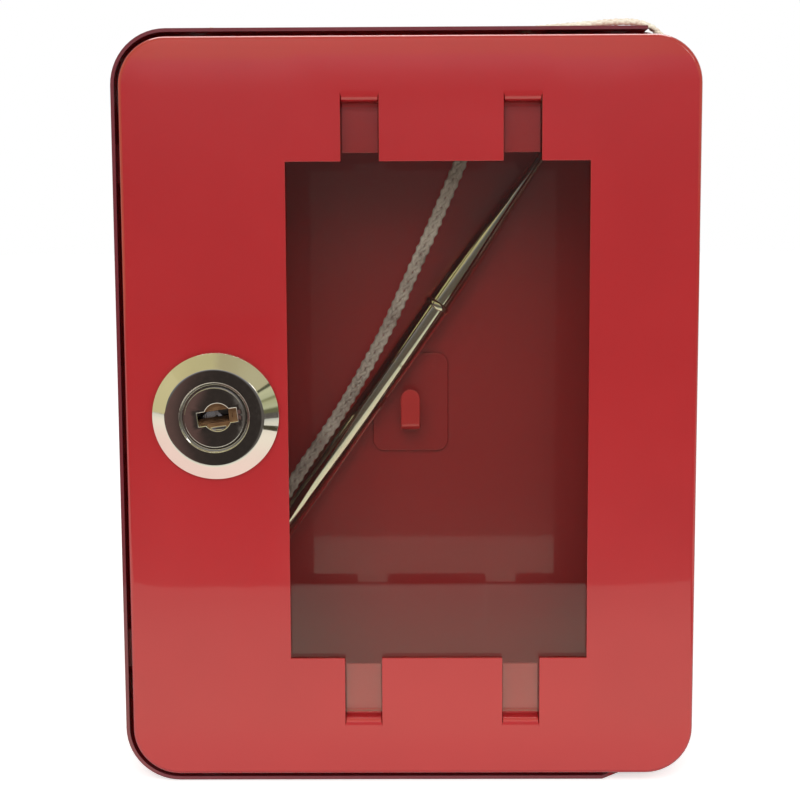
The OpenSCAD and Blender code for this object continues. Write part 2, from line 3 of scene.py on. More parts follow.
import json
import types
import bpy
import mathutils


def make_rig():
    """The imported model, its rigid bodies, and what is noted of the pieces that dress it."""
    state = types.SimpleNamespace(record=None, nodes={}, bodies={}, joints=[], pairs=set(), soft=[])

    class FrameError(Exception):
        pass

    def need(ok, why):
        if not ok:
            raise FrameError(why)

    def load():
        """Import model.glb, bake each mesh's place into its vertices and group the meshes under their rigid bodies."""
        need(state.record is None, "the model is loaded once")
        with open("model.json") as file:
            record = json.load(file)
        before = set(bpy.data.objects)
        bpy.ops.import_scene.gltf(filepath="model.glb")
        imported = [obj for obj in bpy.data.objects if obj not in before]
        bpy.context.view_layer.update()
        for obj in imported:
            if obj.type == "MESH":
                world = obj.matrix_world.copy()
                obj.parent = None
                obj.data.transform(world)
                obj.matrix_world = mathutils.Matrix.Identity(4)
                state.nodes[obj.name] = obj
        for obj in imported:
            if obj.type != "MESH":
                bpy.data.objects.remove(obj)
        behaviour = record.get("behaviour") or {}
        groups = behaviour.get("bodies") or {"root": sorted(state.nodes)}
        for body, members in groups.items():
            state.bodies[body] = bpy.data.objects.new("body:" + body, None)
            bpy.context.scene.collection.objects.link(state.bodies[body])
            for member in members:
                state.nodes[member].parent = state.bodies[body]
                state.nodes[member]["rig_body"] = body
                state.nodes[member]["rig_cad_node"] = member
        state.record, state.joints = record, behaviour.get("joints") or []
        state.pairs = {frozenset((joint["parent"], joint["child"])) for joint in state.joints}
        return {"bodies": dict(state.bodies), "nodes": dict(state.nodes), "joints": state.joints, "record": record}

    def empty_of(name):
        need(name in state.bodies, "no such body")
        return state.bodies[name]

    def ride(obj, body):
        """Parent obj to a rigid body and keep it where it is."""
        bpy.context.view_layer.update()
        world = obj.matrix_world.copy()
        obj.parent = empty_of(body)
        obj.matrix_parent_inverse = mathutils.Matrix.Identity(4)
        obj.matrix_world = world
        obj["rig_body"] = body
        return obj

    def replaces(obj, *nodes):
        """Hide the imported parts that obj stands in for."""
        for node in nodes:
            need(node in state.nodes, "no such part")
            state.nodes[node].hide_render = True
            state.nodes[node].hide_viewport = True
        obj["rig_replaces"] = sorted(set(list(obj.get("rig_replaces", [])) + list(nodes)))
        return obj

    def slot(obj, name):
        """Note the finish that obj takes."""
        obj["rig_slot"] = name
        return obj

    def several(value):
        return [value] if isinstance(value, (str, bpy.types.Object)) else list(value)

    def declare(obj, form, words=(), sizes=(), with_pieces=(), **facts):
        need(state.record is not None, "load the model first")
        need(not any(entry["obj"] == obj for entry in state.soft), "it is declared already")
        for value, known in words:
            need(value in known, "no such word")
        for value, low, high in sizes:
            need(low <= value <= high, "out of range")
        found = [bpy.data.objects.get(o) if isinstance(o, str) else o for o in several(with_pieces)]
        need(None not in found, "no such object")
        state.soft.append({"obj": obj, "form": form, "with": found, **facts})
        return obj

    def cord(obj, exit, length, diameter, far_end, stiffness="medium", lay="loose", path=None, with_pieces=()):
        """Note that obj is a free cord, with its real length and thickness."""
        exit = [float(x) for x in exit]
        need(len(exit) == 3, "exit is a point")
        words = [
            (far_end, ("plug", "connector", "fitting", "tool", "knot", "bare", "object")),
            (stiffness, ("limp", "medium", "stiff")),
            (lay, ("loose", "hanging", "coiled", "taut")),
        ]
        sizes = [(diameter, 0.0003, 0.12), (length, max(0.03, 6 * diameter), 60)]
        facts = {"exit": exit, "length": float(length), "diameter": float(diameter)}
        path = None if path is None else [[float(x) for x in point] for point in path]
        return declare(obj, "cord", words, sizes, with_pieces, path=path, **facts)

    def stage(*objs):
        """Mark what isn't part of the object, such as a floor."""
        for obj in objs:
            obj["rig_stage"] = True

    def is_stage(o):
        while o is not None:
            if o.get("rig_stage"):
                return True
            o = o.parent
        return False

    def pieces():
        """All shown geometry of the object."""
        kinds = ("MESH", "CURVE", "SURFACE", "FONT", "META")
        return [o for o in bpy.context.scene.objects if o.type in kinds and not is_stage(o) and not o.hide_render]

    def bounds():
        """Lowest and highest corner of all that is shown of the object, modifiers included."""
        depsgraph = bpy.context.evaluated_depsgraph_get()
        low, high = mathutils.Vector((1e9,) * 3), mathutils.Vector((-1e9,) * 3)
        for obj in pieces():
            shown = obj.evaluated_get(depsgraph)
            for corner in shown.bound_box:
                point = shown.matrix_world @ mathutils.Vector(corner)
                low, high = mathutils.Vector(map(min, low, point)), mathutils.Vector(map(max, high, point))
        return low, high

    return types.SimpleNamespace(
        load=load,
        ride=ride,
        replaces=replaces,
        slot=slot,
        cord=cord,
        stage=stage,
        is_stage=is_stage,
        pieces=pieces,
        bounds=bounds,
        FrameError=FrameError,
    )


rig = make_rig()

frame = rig.load()

import json
import logging
import math
from collections.abc import Iterable, Sequence
from dataclasses import dataclass, replace
from enum import Enum
from typing import ClassVar

import bmesh
import bpy
from mathutils import Matrix, Vector

CAD_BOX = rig.bounds()
LOG = logging.getLogger("key_box")

# A millimetre in metres. Shapes are drawn in millimetres, materials and the stage in metres
MM = 0.001
# Points this near to each other become one
WELD = 1e-4
# A place this near to another counts as there
NEAR = 0.01
# Further out than any piece reaches
BEYOND = 100.0

Point = tuple[float, float, float]
Colour = tuple[float, float, float]


class Body(Enum):
    """The bodies that pieces ride on."""

    CASE = "case"
    DOOR = "door"
    LOCK = "lock"


class Slot(Enum):
    """The record's material slots."""

    ENAMEL = "red_enamel"
    GLASS = "clear_glass"
    CHROME = "bright_chrome"
    ZINC = "zinc_steel"
    BRASS = "wafer_brass"
    BRAID = "braided_cord"


class Tree:
    """A material's or a world's node tree, with short ways to add and join its nodes."""

    def __init__(self, name: str, world: bool = False) -> None:
        """Starts an empty material or world.

        Args:
            name: Its name.
            world: Whether it is a world.
        """
        self.owner = (bpy.data.worlds if world else bpy.data.materials).new(name)
        self.owner.use_nodes = True
        self.nodes = self.owner.node_tree.nodes
        self.links = self.owner.node_tree.links
        self.nodes.clear()
        self.out = self.nodes.new("ShaderNodeOutput" + ("World" if world else "Material"))

    def fill(self, socket: bpy.types.NodeSocket, value: object) -> None:
        """Links an input, or sets it.

        Args:
            socket: The input.
            value: Another node's output, or a plain number, place or colour.
        """
        if isinstance(value, bpy.types.NodeSocket):
            self.links.new(value, socket)
        else:
            socket.default_value = value

    def add(self, kind: str, settings: dict[str, object] | None = None,
            numbered: dict[int, object] | None = None, **sockets: object) -> bpy.types.Node:
        """Adds a node.

        Args:
            kind: Its type, without the leading ShaderNode.
            settings: Values of the node's own properties.
            numbered: Values or links of inputs by number, where their names repeat.
            sockets: Values or links of inputs by name, with _ for a space.

        Returns:
            The node.
        """
        node = self.nodes.new("ShaderNode" + kind)
        for name, value in (settings or {}).items():
            setattr(node, name, value)
        for number, value in (numbered or {}).items():
            self.fill(node.inputs[number], value)
        for name, value in sockets.items():
            self.fill(node.inputs[name.replace("_", " ")], value)
        return node

    def math(self, operation: str, first: object, second: object) -> bpy.types.NodeSocket:
        """Returns what a sum makes of two numbers, each plain or a node's output."""
        return self.add("Math", {"operation": operation}, {0: first, 1: second}).outputs[0]

    def coords(self) -> bpy.types.NodeSocket:
        """Returns the object's own coordinates, in metres."""
        return self.add("TexCoord").outputs["Object"]

    def stretched(self, scale: Point) -> bpy.types.NodeSocket:
        """Returns object coordinates scaled, for a grain that runs one way."""
        return self.add("Mapping", Vector=self.coords(), Scale=scale).outputs["Vector"]

    def noise(self, scale: float, detail: float = 3.0, rough: float = 0.5,
              vector: bpy.types.NodeSocket | None = None) -> bpy.types.NodeSocket:
        """Adds a noise on object coordinates.

        Args:
            scale: Waves to the metre.
            detail: Octaves.
            rough: Strength of the finer octaves.
            vector: Other coordinates, where the pattern is stretched.

        Returns:
            The noise's grey value.
        """
        node = self.add("TexNoise", Vector=vector or self.coords(), Scale=scale, Detail=detail,
                        Roughness=rough)
        return node.outputs["Fac"]

    def spread(self, value: bpy.types.NodeSocket, low: float, high: float,
               start: float = 0.3, end: float = 0.7) -> bpy.types.NodeSocket:
        """Maps a grey value from one range to another.

        Args:
            value: The grey value.
            low: What it becomes at start and below.
            high: What it becomes at end and above.
            start: The value's own low end.
            end: Its own high end.

        Returns:
            The mapped value.
        """
        node = self.add("MapRange", Value=value, From_Min=start, From_Max=end, To_Min=low,
                        To_Max=high)
        return node.outputs["Result"]

    def between(self, value: bpy.types.NodeSocket, first: Colour, second: Colour,
                start: float = 0.3, end: float = 0.7) -> bpy.types.NodeSocket:
        """Makes a colour that goes from one to another as a grey value rises.

        Args:
            value: The grey value.
            first: The colour up to start.
            second: The colour from end on.
            start: Where the change starts.
            end: Where it ends.

        Returns:
            The colour.
        """
        ramp = self.add("ValToRGB", Fac=value)
        for stop, place, colour in zip(ramp.color_ramp.elements, (start, end), (first, second)):
            stop.position = place
            stop.color = (*colour, 1.0)
        return ramp.outputs["Color"]

    def placed(self, axis: int, start: float, end: float) -> bpy.types.NodeSocket:
        """Returns a share that rises from 0 to 1 along an axis, in metres."""
        parts = self.add("SeparateXYZ", Vector=self.coords())
        return self.spread(parts.outputs[axis], 0.0, 1.0, start, end)

    def blend(self, share: bpy.types.NodeSocket, first: bpy.types.NodeSocket,
              second: bpy.types.NodeSocket) -> bpy.types.NodeSocket:
        """Returns a colour that goes from first to second as the share rises."""
        mix = self.add("Mix", {"data_type": "RGBA"}, {0: share, 6: first, 7: second})
        return mix.outputs[2]

    def bump(self, height: bpy.types.NodeSocket, strength: float,
             depth: float) -> bpy.types.NodeSocket:
        """Returns a normal raised by height, depth in metres."""
        return self.add("Bump", Height=height, Strength=strength,
                        Distance=depth).outputs["Normal"]

    def done(self, shader: bpy.types.Node) -> bpy.types.Material | bpy.types.World:
        """Joins the shader to the output and returns the material or world."""
        self.links.new(shader.outputs[0], self.out.inputs["Surface"])
        return self.owner


@dataclass(frozen=True)
class Enamel:
    """Glossy red enamel on sheet steel, with the faint waviness of a sprayed coat.

    Where front is given, the colour turns to it from front_from to front_to, places in y: a painted highlight or
    painted shade on the part's forward edge, by the colour given.
    """

    slot: ClassVar[Slot] = Slot.ENAMEL
    name: str = "red_enamel"
    light: Colour = (0.435, 0.013, 0.017)
    deep: Colour = (0.405, 0.011, 0.015)
    cloud_scale: float = 38.0
    roughness: tuple[float, float] = (0.22, 0.27)
    speck_scale: float = 900.0
    coat_roughness: float = 0.035
    peel_scale: float = 420.0
    peel_strength: float = 0.35
    peel_depth: float = 0.00001
    front: Colour | None = None
    front_from: float = 0.0
    front_to: float = 0.0
    front_shade: float = 0.93

    def material(self) -> bpy.types.Material:
        """Returns the enamel, a clear coat over a slightly varied red."""
        tree = Tree(self.name)
        cloud = tree.noise(self.cloud_scale, 2.0)
        colour = tree.between(cloud, self.light, self.deep)
        # Painted light or shade: the part's forward edge takes the front colour
        if self.front:
            deep_front = tuple(c * self.front_shade for c in self.front)
            other = tree.between(cloud, self.front, deep_front)
            colour = tree.blend(tree.placed(1, self.front_to, self.front_from), other, colour)
        waves = tree.bump(tree.noise(self.peel_scale, 2.0), self.peel_strength, self.peel_depth)
        return tree.done(tree.add(
            "BsdfPrincipled",
            Base_Color=colour,
            Roughness=tree.spread(tree.noise(self.speck_scale, 2.0), *self.roughness),
            Normal=waves,
            Coat_Weight=1.0,
            Coat_Roughness=self.coat_roughness,
            Coat_Normal=waves,
        ))


@dataclass(frozen=True)
class Metal:
    """Plain or plated metal, with fine marks that run one way."""

    name: str
    slot: Slot
    light: Colour
    deep: Colour
    roughness: tuple[float, float]
    grain: Point = (1.0, 1.0, 1.0)
    grain_scale: float = 900.0
    grain_strength: float = 0.25
    grain_depth: float = 0.000004
    cloud_scale: float = 160.0

    def material(self) -> bpy.types.Material:
        """Returns the metal, its roughness varied by wear and its surface by fine marks."""
        tree = Tree(self.name)
        marks = tree.noise(self.grain_scale, 3.0, 0.6, tree.stretched(self.grain))
        return tree.done(tree.add(
            "BsdfPrincipled",
            Base_Color=tree.between(tree.noise(self.cloud_scale), self.light, self.deep),
            Metallic=1.0,
            Roughness=tree.spread(marks, *self.roughness),
            Normal=tree.bump(marks, self.grain_strength, self.grain_depth),
        ))


@dataclass(frozen=True)
class ClearGlass:
    """Clear flat glass that lets lamp light through to what lies behind it."""

    slot: ClassVar[Slot] = Slot.GLASS
    name: str = "clear_glass"
    tint: Colour = (0.935, 0.965, 0.95)
    smeared_tint: Colour = (0.955, 0.985, 0.97)
    smear_roughness: float = 0.02
    smear_scale: float = 30.0
    smear_run: Point = (1.0, 1.0, 0.35)
    index: float = 1.5

    def material(self) -> bpy.types.Material:
        """Returns the glass, with faint smears in its shine."""
        tree = Tree(self.name)
        smears = tree.noise(self.smear_scale, 3.0, 0.6, tree.stretched(self.smear_run))
        pane = tree.add(
            "BsdfPrincipled",
            Base_Color=tree.between(smears, self.tint, self.smeared_tint),
            Roughness=tree.spread(smears, 0.0, self.smear_roughness),
            IOR=self.index,
            Transmission_Weight=1.0,
        )
        through = tree.add("BsdfTransparent", Color=(*self.tint, 1.0))
        shadow = tree.add("LightPath").outputs["Is Shadow Ray"]
        return tree.done(tree.add(
            "MixShader", None, {0: shadow, 1: pane.outputs[0], 2: through.outputs[0]}))


@dataclass(frozen=True)
class Braid:
    """Off-white cotton yarn, cream above the upper of two heights and, as painted shade, darker and pinker below the
    lower, where the cord lies inside the box.
    """

    slot: ClassVar[Slot] = Slot.BRAID
    name: str = "braided_cord"
    # light and deep: the yarn inside the box, darkened and pinked as painted shade; the next pair is its own cream
    # colour
    light: Colour = (0.58, 0.47, 0.43)
    deep: Colour = (0.28, 0.20, 0.18)
    unshaded_light: Colour = (0.94, 0.87, 0.70)
    unshaded_deep: Colour = (0.80, 0.64, 0.50)
    unshaded_from: float = 0.071
    unshaded_to: float = 0.0745
    grime_scale: float = 210.0
    grime: tuple[float, float] = (0.35, 0.8)
    fibre_scale: float = 5200.0
    fibre_strength: float = 0.5
    fibre_depth: float = 0.00005
    roughness: tuple[float, float] = (0.38, 0.6)
    sheen: float = 0.25
    sheen_roughness: float = 0.4

    def material(self) -> bpy.types.Material:
        """Returns the yarn, with fibres as a fine bump."""
        tree = Tree(self.name)
        fibres = tree.noise(self.fibre_scale, 3.0, 0.65)
        grime = tree.noise(self.grime_scale)
        shaded_yarn = tree.between(grime, self.light, self.deep, *self.grime)
        unshaded_yarn = tree.between(grime, self.unshaded_light, self.unshaded_deep, *self.grime)
        # Painted shade: the share turns the cord from its shaded inside colours to its cream colours as it comes out
        # on top of the box
        share = tree.placed(2, self.unshaded_from, self.unshaded_to)
        return tree.done(tree.add(
            "BsdfPrincipled",
            Base_Color=tree.blend(share, shaded_yarn, unshaded_yarn),
            Roughness=tree.spread(fibres, *self.roughness),
            Normal=tree.bump(fibres, self.fibre_strength, self.fibre_depth),
            Sheen_Weight=self.sheen,
            Sheen_Roughness=self.sheen_roughness,
        ))


Finish = Enamel | Metal | ClearGlass | Braid

ENAMEL = Enamel()
# Painted shade: the door's enamel made darker for the case, whose inside lies in shade behind the door and pane
SHADED_COAT = replace(ENAMEL, light=(0.385, 0.012, 0.0155), deep=(0.36, 0.0105, 0.0135))
# Painted shade: the case's darker enamel, with its rim's front edge painted dark purple-red where it lies in shade
# round the door's gap
SHADED_CASE = replace(SHADED_COAT, name="red_enamel_shaded_case", front=(0.17, 0.02, 0.03),
                front_from=-0.0366, front_to=-0.0376)
# Painted light and shade: the key hook's plate keeps the darker case red, and its tongue, which stands forward into
# the light, is painted a brighter red
HOOK_SHADE_AND_LIGHT = replace(SHADED_COAT, name="red_enamel_hook_shade_and_light", front=(0.66, 0.024, 0.026),
                front_from=-0.0018, front_to=-0.0028)
CHROME = Metal("bright_chrome", Slot.CHROME, (0.78, 0.775, 0.76), (0.74, 0.735, 0.72),
               (0.04, 0.09), grain_depth=0.000001)
WARM = replace(CHROME, name="warm_nickel", light=(0.79, 0.74, 0.61), deep=(0.75, 0.70, 0.57),
               roughness=(0.05, 0.1))
ZINC = Metal("zinc_steel", Slot.ZINC, (0.56, 0.57, 0.58), (0.46, 0.47, 0.48), (0.28, 0.44),
             (1.0, 0.25, 1.0))
BRASS = Metal("wafer_brass", Slot.BRASS, (0.60, 0.37, 0.22), (0.46, 0.27, 0.15), (0.25, 0.4),
              (1.0, 1.0, 0.3))
GLASS = ClearGlass()
BRAID = Braid()


class Finisher:
    """Makes each finish once and gives pieces their finish, body and place in the record."""

    def __init__(self) -> None:
        """Starts with no finish made."""
        self.made: dict[str, bpy.types.Material] = {}

    def of(self, finish: Finish) -> bpy.types.Material:
        """Returns the finish's material, made on its first use."""
        if finish.name not in self.made:
            self.made[finish.name] = finish.material()
        return self.made[finish.name]

    def dress(self, node: str, finish: Finish) -> None:
        """Gives a CAD node that stays its finish.

        Args:
            node: The node.
            finish: What it is made of.
        """
        part = frame["nodes"][node]
        part.data.materials.clear()
        part.data.materials.append(self.of(finish))
        LOG.info("%s: kept, %s", node, finish.name)

    def piece(self, name: str, mesh: bpy.types.Mesh, finish: Finish, body: Body,
              stands_for: Sequence[str], sharp_degrees: float = 35.0) -> bpy.types.Object:
        """Makes an object of a finished mesh.

        Args:
            name: The piece's name.
            mesh: Its mesh, in metres and in place.
            finish: What it is made of.
            body: What it rides on.
            stands_for: The CAD nodes that it replaces.
            sharp_degrees: The angle from which an edge is drawn sharp.

        Returns:
            The object, at the origin.
        """
        mesh.materials.clear()
        mesh.materials.append(self.of(finish))
        mesh.shade_smooth()
        mesh.set_sharp_from_angle(angle=math.radians(sharp_degrees))
        part = bpy.data.objects.new(name, mesh)
        bpy.context.scene.collection.objects.link(part)
        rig.ride(part, body.value)
        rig.slot(part, finish.slot.value)
        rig.replaces(part, *stands_for)
        LOG.info("%s: %d faces, %s, on %s", name, len(mesh.polygons), finish.name, body.value)
        return part

    def soften(self, nodes: Iterable[str], finish: Finish, body: Body, width: float) -> None:
        """Replaces CAD nodes by the same shapes with rounded edges.

        Args:
            nodes: The CAD nodes.
            finish: What they are made of.
            body: What they ride on.
            width: Width of the rounded edges.
        """
        for node in nodes:
            shape = bmesh.new()
            shape.from_mesh(frame["nodes"][node].data)
            bmesh.ops.remove_doubles(shape, verts=shape.verts[:], dist=0.002 * MM)
            bmesh.ops.dissolve_limit(shape, angle_limit=math.radians(1.0), verts=shape.verts[:],
                                     edges=shape.edges[:])
            name = node + "_soft"
            part = self.piece(name, plain_mesh(shape, name), finish, body, (node,))
            add_bevel(part, width)


def plain_mesh(shape: bmesh.types.BMesh, name: str) -> bpy.types.Mesh:
    """Turns a shape in metres into a mesh and frees the shape.

    Args:
        shape: The shape.
        name: The mesh's name.

    Returns:
        The mesh.
    """
    mesh = bpy.data.meshes.new(name)
    shape.to_mesh(mesh)
    shape.free()
    return mesh


def mesh_of(shape: bmesh.types.BMesh, name: str, place: Matrix | None = None) -> bpy.types.Mesh:
    """Turns a shape in millimetres into a mesh in metres and frees the shape.

    Args:
        shape: The shape.
        name: The mesh's name.
        place: The turn and shift that put it in its place, if it isn't there.

    Returns:
        The mesh.
    """
    if place is not None:
        bmesh.ops.transform(shape, matrix=place, verts=shape.verts[:])
    bmesh.ops.scale(shape, vec=(MM, MM, MM), verts=shape.verts[:])
    return plain_mesh(shape, name)


def add_bevel(part: bpy.types.Object, width: float, segments: int = 2,
              degrees: float = 40.0) -> None:
    """Rounds a piece's sharp edges.

    Args:
        part: The piece.
        width: Width of the rounded edges.
        segments: Steps across them.
        degrees: The angle from which an edge is sharp.
    """
    soft = part.modifiers.new("soft_edges", "BEVEL")
    soft.width = width * MM
    soft.segments = segments
    soft.limit_method = "ANGLE"
    soft.angle_limit = math.radians(degrees)
    soft.use_clamp_overlap = True
    soft.harden_normals = True


def even_normals(part: bpy.types.Object) -> None:
    """Lets a piece's wide flat faces keep a flat shine beside their rounded edges.

    Args:
        part: The piece.
    """
    even = part.modifiers.new("even_normals", "WEIGHTED_NORMAL")
    even.mode = "FACE_AREA"
    even.weight = 80
    even.keep_sharp = True


def add_wall(part: bpy.types.Object, thickness: float) -> None:
    """Gives a shell its wall, inwards from its faces.

    Args:
        part: The shell.
        thickness: The wall's thickness.
    """
    wall = part.modifiers.new("wall", "SOLIDIFY")
    wall.thickness = thickness * MM
    wall.offset = -1.0
    wall.use_even_offset = True
    wall.use_rim = True


def spun(profile: Sequence[tuple[float, float]], steps: int = 64,
         soft: float = 0.0) -> bmesh.types.BMesh:
    """Spins a profile about the z axis.

    Args:
        profile: Points of radius and height, in order, from the axis or back to its start.
        steps: Steps round the axis.
        soft: Radius by which the profile's corners are rounded first.

    Returns:
        The closed shape, in the profile's units.
    """
    shape = bmesh.new()
    verts = [shape.verts.new((r, 0.0, z)) for r, z in profile]
    edges = [shape.edges.new(pair) for pair in zip(verts, verts[1:])]
    if profile[0][0] > 0.0:
        edges.append(shape.edges.new((verts[-1], verts[0])))
    if soft > 0.0:
        corners = [v for v in verts if v.co.x > 1e-6 and len(v.link_edges) == 2]
        bmesh.ops.bevel(shape, geom=corners, offset=soft, offset_type="OFFSET",
                        affect="VERTICES", segments=3, profile=0.5, material=-1,
                        clamp_overlap=True)
    bmesh.ops.spin(shape, geom=shape.verts[:] + shape.edges[:], cent=(0, 0, 0), axis=(0, 0, 1),
                   angle=math.tau, steps=steps, use_merge=True)
    bmesh.ops.remove_doubles(shape, verts=shape.verts[:], dist=WELD)
    bmesh.ops.recalc_face_normals(shape, faces=shape.faces[:])
    return shape


def boxed(shape: bmesh.types.BMesh, low: Point, high: Point) -> list[bmesh.types.BMFace]:
    """Finds the faces whose middles lie in a box.

    Args:
        shape: The shape that they belong to.
        low: The box's lowest corner.
        high: Its highest corner.

    Returns:
        The faces.
    """
    found = []
    for face in shape.faces:
        middle = face.calc_center_median()
        if all(a <= c <= b for a, c, b in zip(low, middle, high)):
            found.append(face)
    return found


def cut_planes(shape: bmesh.types.BMesh, axis: int, places: Iterable[float]) -> None:
    """Cuts every face where a coordinate has one of some values.

    Args:
        shape: The shape.
        axis: 0, 1 or 2 for x, y or z.
        places: The values.
    """
    normal = Vector.Fill(3, 0.0)
    normal[axis] = 1.0
    for place in places:
        bmesh.ops.bisect_plane(shape, geom=shape.verts[:] + shape.edges[:] + shape.faces[:],
                               dist=WELD, plane_co=normal * place, plane_no=normal)


def extruded(shape: bmesh.types.BMesh, edges: Sequence[bmesh.types.BMEdge],
             ) -> tuple[list[bmesh.types.BMVert], list[bmesh.types.BMEdge]]:
    """Extrudes edges without moving what it makes.

    Args:
        shape: The shape that they belong to.
        edges: The edges.

    Returns:
        The new vertices and the new edges.
    """
    made = bmesh.ops.extrude_edge_only(shape, edges=edges)["geom"]
    return ([g for g in made if isinstance(g, bmesh.types.BMVert)],
            [g for g in made if isinstance(g, bmesh.types.BMEdge)])


def edges_of(verts: Iterable[bmesh.types.BMVert]) -> list[bmesh.types.BMEdge]:
    """Returns the edges that meet at some vertices, each once and in a fixed order."""
    return list(dict.fromkeys(e for v in verts for e in v.link_edges))


@dataclass(frozen=True)
class RoundRect:
    """A rectangle with round corners, seen from the front, in millimetres."""

    x0: float
    x1: float
    z0: float
    z1: float
    r: float

    def inset(self, by: float) -> "RoundRect":
        """Returns the outline drawn in by that much."""
        return RoundRect(self.x0 + by, self.x1 - by, self.z0 + by, self.z1 - by, self.r - by)

    def outward(self, place: Vector) -> Vector:
        """Finds which way points straight out of the outline.

        Args:
            place: A place near the outline.

        Returns:
            The direction.
        """
        core = Vector((min(max(place.x, self.x0 + self.r), self.x1 - self.r), 0.0,
                       min(max(place.z, self.z0 + self.r), self.z1 - self.r)))
        way = Vector((place.x, 0.0, place.z)) - core
        return way.normalized() if way.length > 1e-6 else Vector((0.0, 0.0, 0.0))

    def plate(self, y: float, steps: int = 14) -> bmesh.types.BMesh:
        """Makes a flat face of this outline.

        Args:
            y: Where its plane lies.
            steps: Edges round each corner.

        Returns:
            The face.
        """
        shape = bmesh.new()
        bmesh.ops.create_grid(shape, x_segments=1, y_segments=1, size=0.5)
        bmesh.ops.rotate(shape, verts=shape.verts[:], cent=(0, 0, 0),
                         matrix=Matrix.Rotation(math.radians(90), 3, "X"))
        bmesh.ops.scale(shape, verts=shape.verts[:],
                        vec=(self.x1 - self.x0, 1.0, self.z1 - self.z0))
        bmesh.ops.translate(shape, verts=shape.verts[:],
                            vec=((self.x0 + self.x1) / 2, y, (self.z0 + self.z1) / 2))
        bmesh.ops.bevel(shape, geom=shape.verts[:], offset=self.r, offset_type="OFFSET",
                        affect="VERTICES", segments=steps, profile=0.5, material=-1)
        return shape


def draw_rim(shape: bmesh.types.BMesh, rim: list[bmesh.types.BMEdge], outline: RoundRect,
             steps: Iterable[tuple[float, float]]) -> list[bmesh.types.BMEdge]:
    """Draws a plate's rim out and back in steps.

    Args:
        shape: The plate.
        rim: The edges of its outline.
        outline: Says which way is out.
        steps: How far out and how far along y each step goes.

    Returns:
        The last edges.
    """
    for out, back in steps:
        verts, rim = extruded(shape, rim)
        for vert in verts:
            vert.co += outline.outward(vert.co) * out + Vector((0.0, back, 0.0))
    return rim


def quarter(radius: float, count: int, sign: float) -> list[tuple[float, float]]:
    """Divides a quarter bend into steps.

    Args:
        radius: The bend's radius.
        count: How many steps.
        sign: Which way along y it turns back.

    Returns:
        How far out and how far along y each step goes.
    """
    angles = [math.radians(90.0 * i / count) for i in range(count + 1)]
    return [(radius * (math.sin(b) - math.sin(a)), sign * radius * (math.cos(a) - math.cos(b)))
            for a, b in zip(angles, angles[1:])]


def punch(shape: bmesh.types.BMesh, x: float, z: float, radius: float, half: float,
          steps: int = 48, margin: float = 0.5) -> None:
    """Makes a round hole in a flat sheet that faces along y.

    Args:
        shape: The sheet.
        x: The hole's centre.
        z: The hole's centre.
        radius: The hole's radius.
        half: Half the side of the square field in which the hole is made.
        steps: Sides of the hole.
        margin: Width of the even ring of faces round the hole.
    """
    cut_planes(shape, 0, (x - half, x + half))
    cut_planes(shape, 2, (z - half, z + half))
    field_face = boxed(shape, (x - half, -BEYOND, z - half), (x + half, BEYOND, z + half))[0]
    level = field_face.calc_center_median().y
    square = field_face.edges[:]
    bmesh.ops.delete(shape, geom=[field_face], context="FACES_ONLY")
    middle = Vector((x, level, z))
    ring = bmesh.ops.create_circle(
        shape, cap_ends=False, radius=radius + margin, segments=steps,
        matrix=Matrix.Translation(middle) @ Matrix.Rotation(math.radians(90), 4, "X"))["verts"]
    loop = edges_of(ring)
    bmesh.ops.triangle_fill(shape, use_beauty=True, edges=square + loop)
    for vert in extruded(shape, loop)[0]:
        vert.co = middle + (vert.co - middle) * radius / (radius + margin)


def face_along(shape: bmesh.types.BMesh, sign: float) -> None:
    """Makes a shell's faces agree and turns them outwards.

    Args:
        shape: The shell.
        sign: Which way along y its plate looks.
    """
    bmesh.ops.remove_doubles(shape, verts=shape.verts[:], dist=WELD)
    bmesh.ops.recalc_face_normals(shape, faces=shape.faces[:])
    plate = max(shape.faces, key=lambda f: f.calc_area() * abs(f.normal.y))
    if plate.normal.y * sign < 0:
        bmesh.ops.reverse_faces(shape, faces=shape.faces[:])


